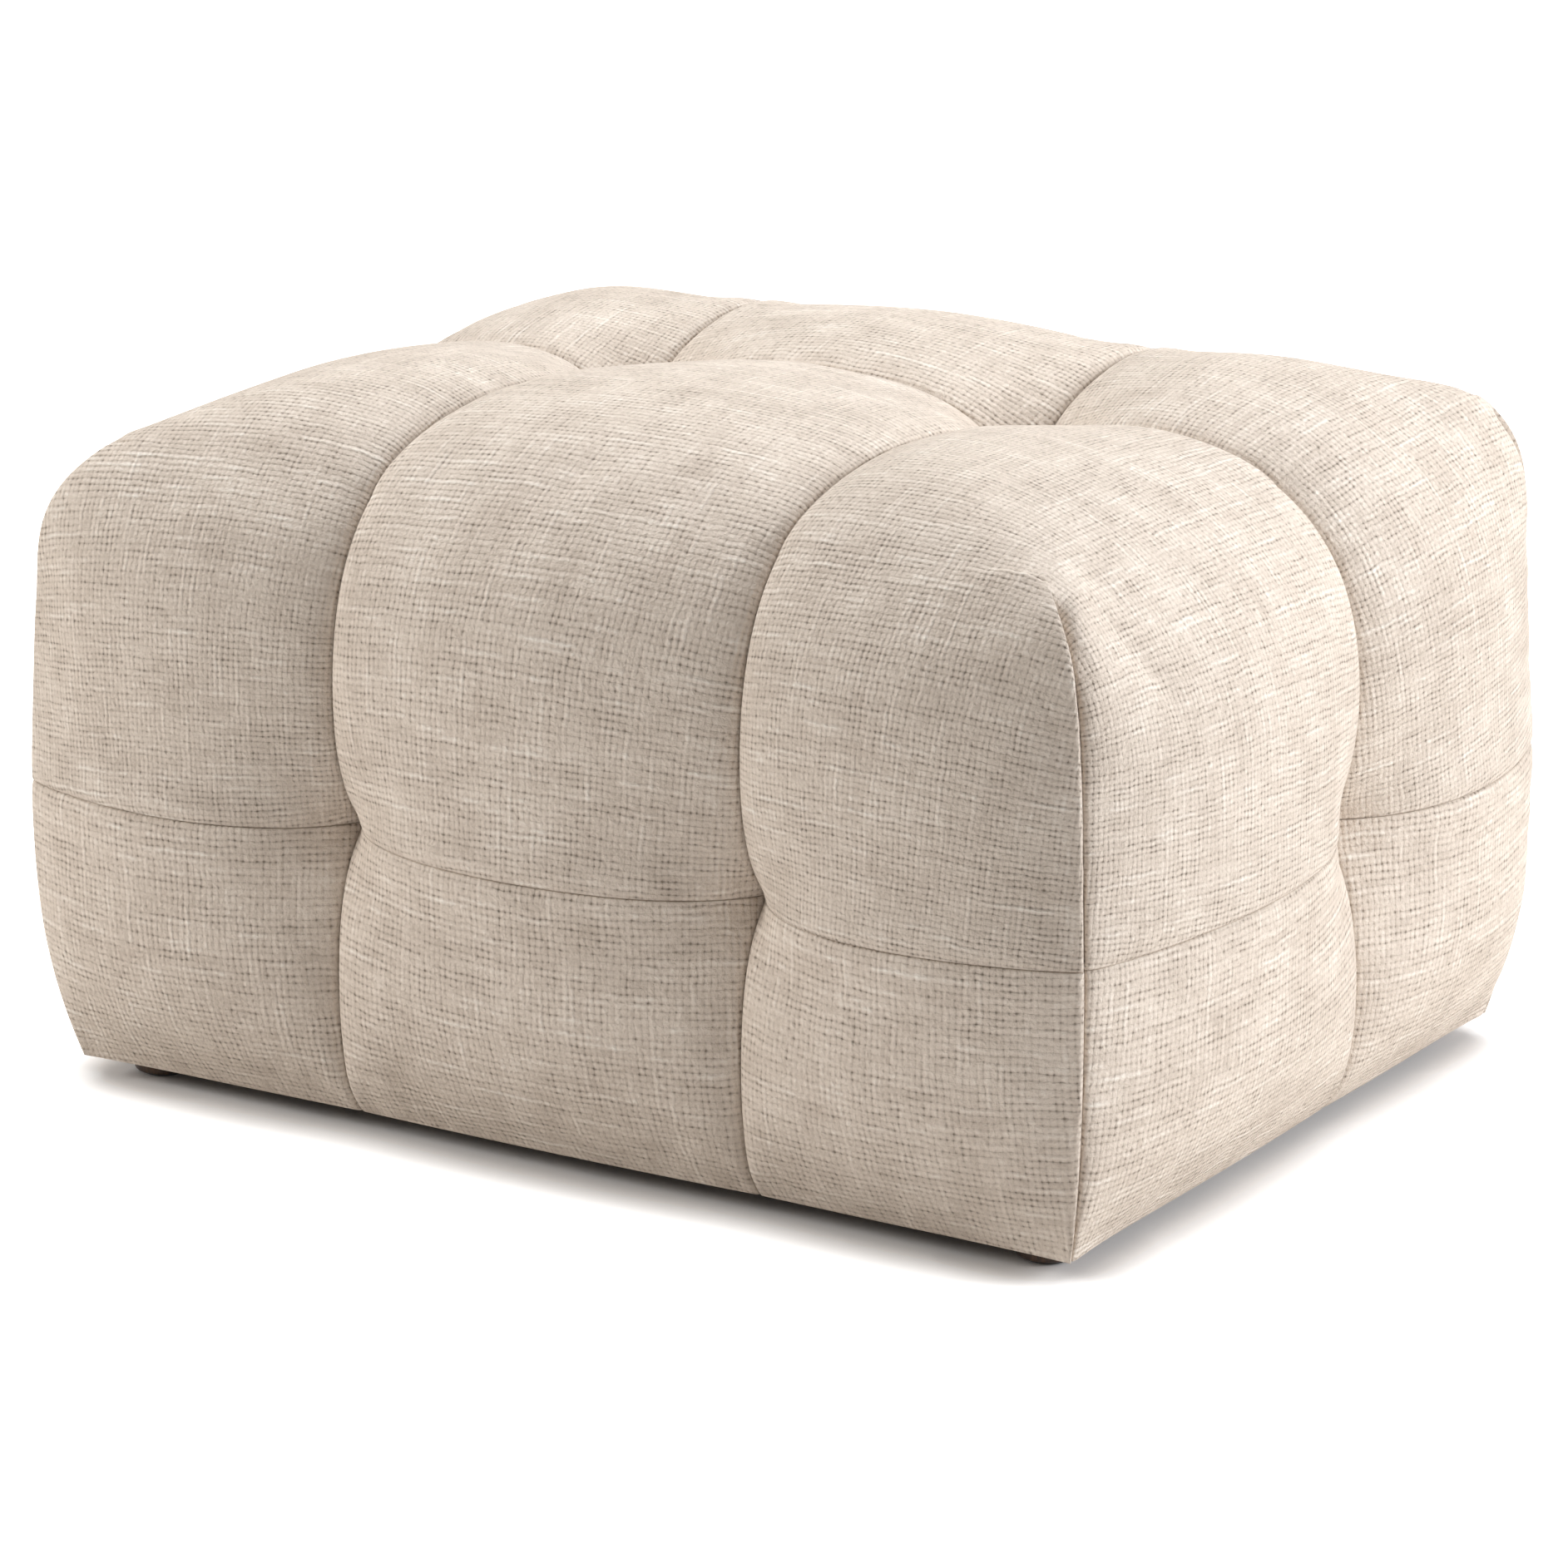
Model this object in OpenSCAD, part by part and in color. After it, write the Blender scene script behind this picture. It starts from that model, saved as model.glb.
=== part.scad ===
// Upholstered rectangular pouf with a tufted cover, drawn piece by piece.
// Millimetres. The ground is at height 0 and the origin lies under the middle of the pouf.
// +X runs along the long side, the front long side faces -Y and +Z is up.

/* [Outside shape of the cover] */
// Length from corner seam to corner seam at mid height
corner_length = 744; // [600:1:1000]
// Depth from corner seam to corner seam at mid height
corner_depth = 560; // [440:1:800]
// Height of the seams on top of the seat
seat_height = 434; // [380:1:520]
// Height of the lower edge of the cover
hem_height = 13.5; // [10:0.5:16]
// Height of the seam that runs round all four sides
waist_height = 193; // [165:1:215]
// Distance of the two cross seams from the middle
cross_seam_x = 143; // [110:1:170]
// Distance of the lengthwise seam behind the middle
long_seam_y = 47.5; // [0:0.5:70]
// Roundness of the shoulder along the front, higher is squarer
front_shoulder = 3.7; // [3:0.1:6]
// Roundness of the shoulder along the back, higher is squarer
back_shoulder = 4.4; // [3:0.1:6]
// Roundness of the four top corners, higher is squarer
corner_shoulder = 7.5; // [6:0.1:10]
// How far the middle of a side stands out past its corner seams
side_bow = 4; // [0:0.5:10]
// How far the top of a corner seam leans in
corner_lean = 8; // [0:0.5:15]
// How far the lower edge is drawn in under the pouf
hem_inset = 25; // [18:0.5:32]
// Part of that inset that the corners keep
hem_corner = 0.7; // [0.4:0.05:1]

/* [Padding of the cells] */
// Crown of a padded cell on the sides, over its seams
side_crown = 24; // [12:0.5:32]
// Crown of a padded cell on top, over its seams
top_crown = 14; // [6:0.5:24]
// How soon a cell reaches its crown, smaller is fuller at the seam
crown_fullness = 0.8; // [0.6:0.05:1.2]
// Depth of the narrow crease at a seam
crease_depth = 4; // [2:0.5:6]
// Width of the narrow crease at a seam
crease_width = 9.5; // [5:0.5:15]
// How far a tuft on the sides is pulled in
side_tuft_depth = 32; // [20:0.5:42]
// Spread of the dimple round a side tuft
side_tuft_spread = 30; // [20:1:40]
// How far a tuft in the seat is pulled down
seat_tuft_depth = 59; // [40:0.5:75]
// Spread of the dimple round a seat tuft
seat_tuft_spread = 36; // [24:1:48]
// Thinnest padding, left under the bottom of a tuft
tuft_padding = 8; // [5:0.5:12]
// Padding between the lower edge of the cover and the frame
hem_padding = 7; // [5:0.5:10]

/* [Core under the cover] */
// Thickness of the foam slabs on the four sides
slab_thickness = 20; // [12:0.5:25]
// Thickness of the foam block of the seat
seat_foam = 80; // [50:1:110]
// Thickness of the hardboard linings
board_thickness = 3; // [3:0.5:6]
// Thickness of the hessian over the webbing
hessian_thickness = 1; // [0.8:0.1:1.5]
// Diameter of the holes that the tuft cords run through
cord_hole = 8; // [6:0.5:12]
// Diameter of a tuft cord
cord_diameter = 3; // [2:0.1:4]
// Diameter of the washer that holds a tuft cord
washer_diameter = 26; // [18:0.5:34]
// Thickness of that washer
washer_thickness = 2; // [1.5:0.1:3]
// Width of the bar that holds the cord of a seat tuft
tuft_bar_width = 24; // [16:1:36]
// Thickness of that bar
tuft_bar_thickness = 4; // [3:0.5:6]
// How far that bar bears on the strap at each end
tuft_bar_bearing = 15; // [8:1:20]

/* [Webbing] */
// Width of a webbing strap
strap_width = 50; // [40:1:60]
// Thickness of a webbing strap
strap_thickness = 1.2; // [1:0.1:1.4]
// Distance between neighbouring straps, middle to middle
strap_pitch = 95; // [80:1:105]

/* [Wooden frame] */
// Width of the lower rails
base_rail_width = 60; // [50:1:75]
// Thickness of the lower rails
base_rail_thickness = 20; // [18:0.5:26]
// Width of the upper rails that carry the webbing
deck_rail_width = 45; // [40:1:60]
// Thickness of the upper rails
deck_rail_thickness = 20; // [18:0.5:26]
// Side of a square corner post
post_side = 30; // [24:1:36]
// Diameter of the dowels in the rail joints
dowel_diameter = 8; // [6:0.5:10]
// Length of the dowels
dowel_length = 36; // [24:1:44]
// Length of the screws that hold the posts
screw_length = 50; // [40:1:60]
// Diameter of those screws
screw_diameter = 4; // [3:0.1:5]

/* [Underside] */
// Thickness of the black dust cover
dust_thickness = 0.8; // [0.6:0.1:1]
// How far the dust cover stays inside the edge of the frame
dust_margin = 6; // [4:0.5:12]
// Width of a staple
staple_width = 10; // [8:0.5:12]
// Length of the legs of a staple
staple_leg = 8; // [6:0.5:10]
// Thickness of the staple wire
staple_wire = 0.9; // [0.7:0.1:1.2]
// Staples along each long edge
staples_long = 8; // [4:1:12]
// Staples along each short edge
staples_short = 5; // [3:1:8]

/* [Feet] */
// Height of the underside of the frame over the ground
frame_clearance = 25; // [24:0.5:40]
// Diameter of a foot at its top
foot_top = 44; // [38:0.5:50]
// Diameter of a foot at the ground
foot_bottom = 38; // [32:0.5:44]
// Height of the rounded edge at the ground
foot_round = 3; // [1:0.5:5]
// Diameter of the glide under a foot
glide_diameter = 28; // [20:0.5:30]
// Thickness of the glide
glide_thickness = 3; // [2:0.5:4]
// Diameter of the threaded rod in a foot
bolt_diameter = 8; // [6:0.5:8]
// Diameter of the flange of the nut in the rail
nut_flange = 20; // [16:0.5:24]

/* [Fits] */
// Gap between two pieces that rest against each other
seat_gap = 0.3; // [0.2:0.05:0.5]
// Play of a hole round what it holds, on the diameter
hole_play = 0.4; // [0.2:0.1:0.8]

/* [Hidden] */

half_l = corner_length / 2;
half_d = corner_depth / 2;

// The padded core: the pads lie on a box of this size.
core_x = half_l - side_tuft_depth - tuft_padding;
core_y = half_d - side_tuft_depth - tuft_padding;
core_z = seat_height - seat_tuft_depth - crease_depth - tuft_padding;
// The lower frame stands out past the core, up to the padding of the lower edge.
base_x = half_l - hem_inset - hem_padding;
base_y = half_d - hem_inset - hem_padding;
base_top = frame_clearance + base_rail_thickness;
// Faces of the slabs, linings and posts, each one step further in.
slab_back_x = core_x - slab_thickness;
slab_back_y = core_y - slab_thickness;
board_x = slab_back_x - seat_gap;
board_y = slab_back_y - seat_gap;
post_x = board_x - board_thickness - seat_gap;
post_y = board_y - board_thickness - seat_gap;
// Levels of the layers under the seat, from the foam block down.
foam_bottom = core_z - seat_gap - seat_foam;
hessian_bottom = foam_bottom - seat_gap - hessian_thickness;
strap_gap = 0.4;
strap_zone = 2 * strap_thickness + strap_gap;
deck_top = hessian_bottom - seat_gap - strap_zone - seat_gap;
deck_bottom = deck_top - deck_rail_thickness;
strap_middle = deck_top + seat_gap + strap_zone / 2;
// Feet, with the middle of each one set in from the edge of the frame.
foot_x = base_x - foot_top / 2;
foot_y = base_y - foot_top / 2;
foot_head = frame_clearance - dust_thickness - 2 * seat_gap;

// Half the gap between two pads.
pad_gap = 0.25;
// The inside of a lower pad steps from the frame to the core between these levels.
core_ledge = 14;
ledge_low = base_top + seat_gap;
ledge_high = ledge_low + core_ledge;
// How the corners, the lower edge and the shoulders turn from one shape into the next.
edge_power = 16;
corner_reach = 6;
corner_calm = 3;
open_share = 0.5;
middle_share = 0.45;
crown_start = (seat_height - waist_height) / 2 + waist_height;
hem_power = 7;
hem_crown = 0.1;
hem_fade = 105;
shoulder_from = -0.1;
shoulder_run = 0.6;
// Rows and columns of points over the cells: hem to ledge to waist, waist to seat, and so on.
hem_rows = 3;
wall_rows = 5;
lower_rows = concat(steps(hem_rows, hem_height, ledge_low),
    steps(wall_rows, ledge_high, waist_height - pad_gap));
lower_bands = [0, hem_rows, hem_rows + 1, hem_rows + 1 + wall_rows];
upper_rows = steps(10, waist_height + pad_gap, seat_height);
corner_columns = steps(9, cross_seam_x + pad_gap, half_l);
lower_corner_columns = steps(9, cross_seam_x + pad_gap, half_l - pad_gap);
middle_columns = steps(12, pad_gap - cross_seam_x, cross_seam_x - pad_gap);
front_depths = steps(11, -half_d, long_seam_y - pad_gap);
back_depths = steps(9, half_d, long_seam_y + pad_gap);
front_side_columns = steps(11, pad_gap - half_d, long_seam_y - pad_gap);
back_side_columns = steps(9, half_d - pad_gap, long_seam_y + pad_gap);
// Cuts run this far past the faces they open.
over = 1;
slab_bottom = ledge_low + seat_gap;
slab_top = foam_bottom - seat_gap;
// Straps keep clear of the tufts, which lie in the gaps between them.
strap_xs = [-cross_seam_x - strap_pitch / 2, -cross_seam_x + strap_pitch / 2, 0,
    cross_seam_x - strap_pitch / 2, cross_seam_x + strap_pitch / 2];
strap_ys = [long_seam_y - strap_pitch - strap_pitch / 2, long_seam_y - strap_pitch / 2,
    long_seam_y + strap_pitch / 2];
strap_lift = (strap_thickness + strap_gap) / 2;
strap_slope = 12;
strap_flat_margin = 1;
strap_flat = strap_width / 2 + strap_flat_margin;
strap_end = 8;
board_bottom = base_top + seat_gap;
// Middles of the posts, the dowels and the screw heads.
post_mid_x = post_x - post_side / 2;
post_mid_y = post_y - post_side / 2;
head_to_shank = 2;
head_slope = 0.6;
head_diameter = head_to_shank * screw_diameter;
head_depth = head_slope * screw_diameter;
dowel_deck_y = post_y - deck_rail_width;
dowel_base_y = base_y - base_rail_width;
dowel_deck_x = post_x - deck_rail_width / 2;
dowel_base_x = base_x - base_rail_width / 2;
deck_mid = deck_top - deck_rail_thickness / 2;
base_mid = frame_clearance + base_rail_thickness / 2;
// Nut of a foot, dust cover with its staples, cords with their knots, and the foot's fittings.
nut_wall = 1;
nut_barrel = bolt_diameter + 2 * nut_wall;
nut_length = 11;
flange_thickness = 1.5;
dust_x = base_x - dust_margin;
dust_y = base_y - dust_margin;
dust_top = frame_clearance - seat_gap;
staple_inset = 9;
staple_x = dust_x - foot_top - staple_inset;
staple_y = dust_y - foot_top - staple_inset;
knot_to_cord = 2.4;
knot_diameter = knot_to_cord * cord_diameter;
washer_seat = board_thickness + slab_thickness + 2 * seat_gap + washer_thickness;
tuft_bar = [strap_pitch - strap_width + 2 * tuft_bar_bearing, tuft_bar_width,
    tuft_bar_thickness];
glide_depth = glide_thickness / 2;
bolt_bottom = 6;
$fn = 48;

cloth = "#d9cec0";
foam_tint = "#efe3b4";
pine = "#d8b888";
hardboard = "#8a6543";
hessian_tint = "#b59a6b";
strap_tint = "#5d5046";
black_cloth = "#1d1d1f";
dark_wood = "#2a1c12";
zinc = "#b8bcc0";
cord_tint = "#e8e2d2";

function clamp01(t) = min(max(t, 0), 1);
function smooth(t) = let (c = clamp01(t)) c * c * (3 - 2 * c);
// Padding of a cell that ends in seams at both sides, and of one that runs on over an edge.
function closed(t) = pow(max(sin(180 * clamp01(t)), 0), crown_fullness);
function opened(t) = pow(sin(90 * clamp01(t)), crown_fullness);
function dimple(r, depth, spread) = depth * exp(-r / spread);

// Point of the cover over the point (x, y, z) of its box; face is 0 for the front and back,
// 1 for the short sides and 2 for the top.
function cover(x, y, z, face) =
    let (xh = x / half_l, yh = y / half_d, ax = abs(x),
        rise = seat_height - waist_height,
        up = max(z - waist_height, 0) / rise,
        down = max(waist_height - z, 0) / (waist_height - hem_height),
        k = pow(abs(xh * yh), corner_reach),
        calm = pow(abs(xh * yh), corner_calm),
        ms = front_shoulder + (back_shoulder - front_shoulder)
            * smooth((yh - shoulder_from) / shoulder_run),
        m = ms + (corner_shoulder - ms) * k,
        round_xy = pow(pow(abs(xh), edge_power) + pow(abs(yh), edge_power), 1 / edge_power),
        norm = pow(pow(round_xy, m) + pow(up, m), 1 / m),
        pull = 1 - pow(1 + pow(up, m), -1 / m),
        px = x * (1 - pull * pow(abs(xh), ms)) - sign(xh) * corner_lean * up * k
            + sign(xh) * side_bow * xh * xh * (1 - yh * yh),
        py = y * (1 - pull * pow(abs(yh), ms)) - sign(yh) * corner_lean * up * k
            + sign(yh) * side_bow * yh * yh * (1 - xh * xh),
        pz = z > waist_height ? waist_height + rise * up / norm : z,
        gx = sign(xh) * pow(abs(xh), edge_power - 1) * pow(round_xy, m - edge_power) / half_l,
        gy = sign(yh) * pow(abs(yh), edge_power - 1) * pow(round_xy, m - edge_power) / half_d,
        gz = pow(up, m - 1) / rise,
        g = norm([gx, gy, gz]),
        hem = hem_inset * (1 - (1 - hem_corner) * k) * pow(down, hem_power))
    [px - hem * sign(xh) * pow(abs(xh), corner_reach),
     py - hem * sign(yh) * pow(abs(yh), corner_reach), pz]
        + [gx, gy, gz] / g * padding(x, y, z, face, calm);

// Padding outwards from the seam level at that point.
function padding(x, y, z, face, calm) =
    let (ax = abs(x),
        over = smooth((z - crown_start) / (seat_height - crown_start)),
        side_l = ax <= cross_seam_x ? closed((x + cross_seam_x) / (2 * cross_seam_x))
            : let (run = half_l - cross_seam_x, shut = closed((ax - cross_seam_x) / run),
                free = opened((ax - cross_seam_x) / (run * open_share)))
              shut + (max(free, shut) - shut) * over,
        cell_d = y < long_seam_y ? half_d + long_seam_y : half_d - long_seam_y,
        shut_d = closed(abs(y - long_seam_y) / cell_d),
        free_d = opened(abs(y - long_seam_y) / (cell_d * open_share)),
        side_d = shut_d + (max(free_d, shut_d) - shut_d) * over,
        fill = (side_crown + (top_crown - side_crown) * over)
            * (hem_crown + (1 - hem_crown) * smooth((z - hem_height) / hem_fade)),
        dx = abs(ax - cross_seam_x), dy = abs(y - long_seam_y), dz = abs(z - waist_height),
        cell = face == 2 ? side_l * side_d : face == 1 ? side_d : side_l,
        seam = face == 2 ? min(dx, dy) : face == 1 ? min(dy, dz) : min(dx, dz),
        pull = face == 2 ? dimple(norm([dx, dy]), seat_tuft_depth, seat_tuft_spread)
            : face == 1 ? dimple(norm([dy, dz]), side_tuft_depth, side_tuft_spread)
            : dimple(norm([dx, dz]), side_tuft_depth, side_tuft_spread),
        crease = crease_depth * exp(-seam / crease_width)
            * smooth((z - hem_height) / (hem_fade / 2)),
        steady = 1 - calm * over)
    fill * cell * steady - pull - crease * steady;

// Steps from lo to hi, closer together near both ends.
function steps(n, lo, hi) = [for (i = [0:n])
    let (t = i / n)
        lo + (hi - lo) * (middle_share * t + (1 - middle_share) * (1 - cos(180 * t)) / 2)];
function scaled(v, from, to_a, to_b) = (v - from[0]) / (from[1] - from[0]) * (to_b - to_a) + to_a;
// Two triangles for a four-sided patch, and a face list turned inside out.
function patch(a, b, c, d) = [[a, b, c], [a, c, d]];
function turned(f) = [for (q = f) [for (i = [len(q) - 1:-1:0]) q[i]]];
function flat(l) = [for (a = l) for (b = a) b];
// A flat face of many corners is filled from a point in its middle.
function middle(points, face, i = 0) =
    i == len(face) ? [0, 0, 0] : points[face[i]] / len(face) + middle(points, face, i + 1);
function fan(face, c) = [for (i = [0:len(face) - 1]) [c, face[i], face[(i + 1) % len(face)]]];
module closed_pad(points, skin, backs, flip) {
    faces = concat(skin, flat([for (i = [0:len(backs) - 1]) fan(backs[i], len(points) + i)]));
    polyhedron(concat(points, [for (b = backs) middle(points, b)]),
        flip ? turned(faces) : faces, convexity = 6);
}

// A pad that is one strip of cloth: rows of points outside, rows of points on the core inside.
// The inside is flat between the rows named in bands.
module strip_pad(outer, inner, bands, flip) {
    nu = len(outer) - 1;
    nv = len(outer[0]) - 1;
    m = (nu + 1) * (nv + 1);
    function o(i, j) = i * (nv + 1) + j;
    function w(i, j) = m + o(i, j);
    skin = flat([for (i = [0:nu - 1]) for (j = [0:nv - 1])
        patch(o(i, j), o(i, j + 1), o(i + 1, j + 1), o(i + 1, j))]);
    ends = flat([for (i = [0:nu - 1]) each [
        patch(o(i, 0), o(i + 1, 0), w(i + 1, 0), w(i, 0)),
        patch(o(i + 1, nv), o(i, nv), w(i, nv), w(i + 1, nv))]]);
    walls = flat([for (j = [0:nv - 1]) each [
        patch(o(0, j + 1), o(0, j), w(0, j), w(0, j + 1)),
        patch(o(nu, j), o(nu, j + 1), w(nu, j + 1), w(nu, j))]]);
    back = [for (b = [0:len(bands) - 2]) let (r = bands[b], s = bands[b + 1]) concat(
        r == 0 ? [for (i = [0:nu]) w(i, 0)] : [w(0, r), w(nu, r)],
        [for (j = [r + 1:1:s - 1]) w(nu, j)],
        s == nv ? [for (i = [nu:-1:0]) w(i, nv)] : [w(nu, s), w(0, s)],
        [for (j = [s - 1:-1:r + 1]) w(0, j)])];
    closed_pad(concat(flat(outer), flat(inner)), concat(skin, ends, walls), back, flip);
}

// A pad that wraps a top corner: long side, short side and top in one piece.
module corner_pad(xs, ys, zs, flip) {
    nx = len(xs) - 1;
    ny = len(ys) - 1;
    nz = len(zs) - 1;
    b1 = (nx + 1) * (nz + 1);
    b2 = b1 + ny * (nz + 1);
    m = b2 + nx * ny;
    function v(i, j, k) = j == 0 ? i * (nz + 1) + k
        : i == nx ? b1 + (j - 1) * (nz + 1) + k : b2 + i * ny + j - 1;
    function w(i, j, k) = m + v(i, j, k);
    fx = [xs[0], xs[nx]];
    fy = [ys[0], ys[ny]];
    fz = [zs[0], zs[nz]];
    side = sign(ys[0]);
    function inx(x) = scaled(x, fx, fx[0], core_x + seat_gap);
    function iny(y) = scaled(y, fy, side * (core_y + seat_gap), fy[1]);
    function inz(z) = scaled(z, fz, fz[0], core_z + seat_gap);
    outer = concat(
        [for (x = xs) for (z = zs) cover(x, ys[0], z, 0)],
        [for (j = [1:ny]) for (z = zs) cover(xs[nx], ys[j], z, 1)],
        [for (i = [0:nx - 1]) for (j = [1:ny]) cover(xs[i], ys[j], zs[nz], 2)]);
    inner = concat(
        [for (x = xs) for (z = zs) [inx(x), iny(ys[0]), inz(z)]],
        [for (j = [1:ny]) for (z = zs) [inx(xs[nx]), iny(ys[j]), inz(z)]],
        [for (i = [0:nx - 1]) for (j = [1:ny]) [inx(xs[i]), iny(ys[j]), inz(zs[nz])]]);
    skin = flat(concat(
        [for (i = [0:nx - 1]) for (k = [0:nz - 1])
            patch(v(i, 0, k), v(i, 0, k + 1), v(i + 1, 0, k + 1), v(i + 1, 0, k))],
        [for (j = [0:ny - 1]) for (k = [0:nz - 1])
            patch(v(nx, j, k), v(nx, j, k + 1), v(nx, j + 1, k + 1), v(nx, j + 1, k))],
        [for (i = [0:nx - 1]) for (j = [0:ny - 1])
            patch(v(i, j, nz), v(i, j + 1, nz), v(i + 1, j + 1, nz), v(i + 1, j, nz))]));
    rims = flat(concat(
        [for (i = [0:nx - 1]) each [
            patch(v(i, 0, 0), v(i + 1, 0, 0), w(i + 1, 0, 0), w(i, 0, 0)),
            patch(v(i + 1, ny, nz), v(i, ny, nz), w(i, ny, nz), w(i + 1, ny, nz))]],
        [for (j = [0:ny - 1]) each [
            patch(v(nx, j, 0), v(nx, j + 1, 0), w(nx, j + 1, 0), w(nx, j, 0)),
            patch(v(0, j + 1, nz), v(0, j, nz), w(0, j, nz), w(0, j + 1, nz))]],
        [for (k = [0:nz - 1]) each [
            patch(v(0, 0, k + 1), v(0, 0, k), w(0, 0, k), w(0, 0, k + 1)),
            patch(v(nx, ny, k), v(nx, ny, k + 1), w(nx, ny, k + 1), w(nx, ny, k))]]));
    back = [
        concat([for (i = [0:nx]) w(i, 0, 0)], [w(nx, 0, nz)],
            [for (k = [nz:-1:1]) w(0, 0, k)]),
        concat([for (j = [0:ny]) w(nx, j, 0)], [for (k = [1:nz]) w(nx, ny, k)],
            [w(nx, 0, nz)]),
        concat([w(0, 0, nz), w(nx, 0, nz)], [for (i = [nx:-1:0]) w(i, ny, nz)],
            [for (j = [ny - 1:-1:1]) w(0, j, nz)])];
    closed_pad(concat(outer, inner), concat(skin, rims), back, flip);
}

// Where the inside of a lower pad lies at height z.
function lower_x(z) = (z > ledge_low + pad_gap ? core_x : base_x) + seat_gap;
function lower_y(z) = (z > ledge_low + pad_gap ? core_y : base_y) + seat_gap;

module upper_corner_right(front) {
    color(cloth) corner_pad(corner_columns, front ? front_depths : back_depths, upper_rows,
        !front);
}
module upper_pad_front_right() { upper_corner_right(true); }
module upper_pad_back_right() { upper_corner_right(false); }
module upper_pad_front_left() { mirror([1, 0, 0]) upper_corner_right(true); }
module upper_pad_back_left() { mirror([1, 0, 0]) upper_corner_right(false); }

module upper_middle(front) {
    ys = front ? front_depths : back_depths;
    side = front ? -1 : 1;
    nz = len(upper_rows) - 1;
    ny = len(ys) - 1;
    fz = [upper_rows[0], upper_rows[nz]];
    fy = [ys[0], ys[ny]];
    outer = [for (x = middle_columns) concat(
        [for (z = upper_rows) cover(x, ys[0], z, 0)],
        [for (j = [1:ny]) cover(x, ys[j], seat_height, 2)])];
    inner = [for (x = middle_columns) concat(
        [for (z = upper_rows) [x, side * (core_y + seat_gap),
            scaled(z, fz, fz[0], core_z + seat_gap)]],
        [for (j = [1:ny]) [x, scaled(ys[j], fy, side * (core_y + seat_gap), fy[1]),
            core_z + seat_gap]])];
    color(cloth) strip_pad(outer, inner, [0, nz, nz + ny], !front);
}
module upper_pad_front_middle() { upper_middle(true); }
module upper_pad_back_middle() { upper_middle(false); }

// Lower pads along a long side, between the columns lo and hi of the cover.
module lower_long(columns, front) {
    side = front ? -1 : 1;
    lo = columns[0];
    hi = columns[len(columns) - 1];
    to_corner = hi > cross_seam_x;
    outer = [for (x = columns) [for (z = lower_rows) cover(x, side * half_d, z, 0)]];
    inner = [for (x = columns) [for (z = lower_rows)
        [to_corner ? scaled(x, [lo, hi], lo, lower_x(z) - pad_gap) : x, side * lower_y(z), z]]];
    color(cloth) strip_pad(outer, inner, lower_bands, !front);
}
module lower_pad_front_right() { lower_long(lower_corner_columns, true); }
module lower_pad_back_right() { lower_long(lower_corner_columns, false); }
module lower_pad_front_left() { mirror([1, 0, 0]) lower_pad_front_right(); }
module lower_pad_back_left() { mirror([1, 0, 0]) lower_pad_back_right(); }
module lower_pad_front_middle() { lower_long(middle_columns, true); }
module lower_pad_back_middle() { lower_long(middle_columns, false); }

// Lower pads along a short side, from its corner seam to the lengthwise seam.
module lower_short(front) {
    side = front ? -1 : 1;
    columns = front ? front_side_columns : back_side_columns;
    ends = [columns[0], columns[len(columns) - 1]];
    outer = [for (y = columns) [for (z = lower_rows) cover(half_l, y, z, 1)]];
    inner = [for (y = columns) [for (z = lower_rows)
        [lower_x(z), scaled(y, ends, side * (lower_y(z) - pad_gap), ends[1]), z]]];
    color(cloth) strip_pad(outer, inner, lower_bands, !front);
}
module lower_pad_right_front() { lower_short(true); }
module lower_pad_right_back() { lower_short(false); }
module lower_pad_left_front() { mirror([1, 0, 0]) lower_short(true); }
module lower_pad_left_back() { mirror([1, 0, 0]) lower_short(false); }

// A plain block between two corners.
module block(lo, hi) { translate(lo) cube(hi - lo); }
// A hole through along Z, along Y and along X.
module bore_z(x, y, z0, z1, d) { translate([x, y, z0]) cylinder(h = z1 - z0, d = d); }
module bore_y(x, z, y0, y1, d) {
    translate([x, y0, z]) rotate([-90, 0, 0]) cylinder(h = y1 - y0, d = d);
}
module bore_x(y, z, x0, x1, d) {
    translate([x0, y, z]) rotate([0, 90, 0]) cylinder(h = x1 - x0, d = d);
}

module seat_foam_block() {
    color(foam_tint) difference() {
        block([-core_x, -core_y, foam_bottom], [core_x, core_y, core_z]);
        for (s = [-1, 1])
            bore_z(s * cross_seam_x, long_seam_y, foam_bottom - over, core_z + over,
                cord_hole);
    }
}

module side_foam_long(side) {
    y0 = min(side * core_y, side * slab_back_y);
    color(foam_tint) difference() {
        block([-core_x, y0, slab_bottom], [core_x, y0 + slab_thickness, slab_top]);
        for (s = [-1, 1])
            bore_y(s * cross_seam_x, waist_height, y0 - over, y0 + slab_thickness + over,
                cord_hole);
    }
}
module side_foam_front() { side_foam_long(-1); }
module side_foam_back() { side_foam_long(1); }
module side_foam_short(side) {
    x0 = min(side * core_x, side * slab_back_x);
    y1 = slab_back_y - seat_gap;
    color(foam_tint) difference() {
        block([x0, -y1, slab_bottom], [x0 + slab_thickness, y1, slab_top]);
        bore_x(long_seam_y, waist_height, x0 - over, x0 + slab_thickness + over, cord_hole);
    }
}
module side_foam_left() { side_foam_short(-1); }
module side_foam_right() { side_foam_short(1); }

module hessian_sheet() {
    color(hessian_tint) difference() {
        block([-board_x, -board_y, hessian_bottom],
            [board_x, board_y, hessian_bottom + hessian_thickness]);
        for (s = [-1, 1])
            bore_z(s * cross_seam_x, long_seam_y, hessian_bottom - over,
                hessian_bottom + hessian_thickness + over, cord_hole);
    }
}

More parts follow.
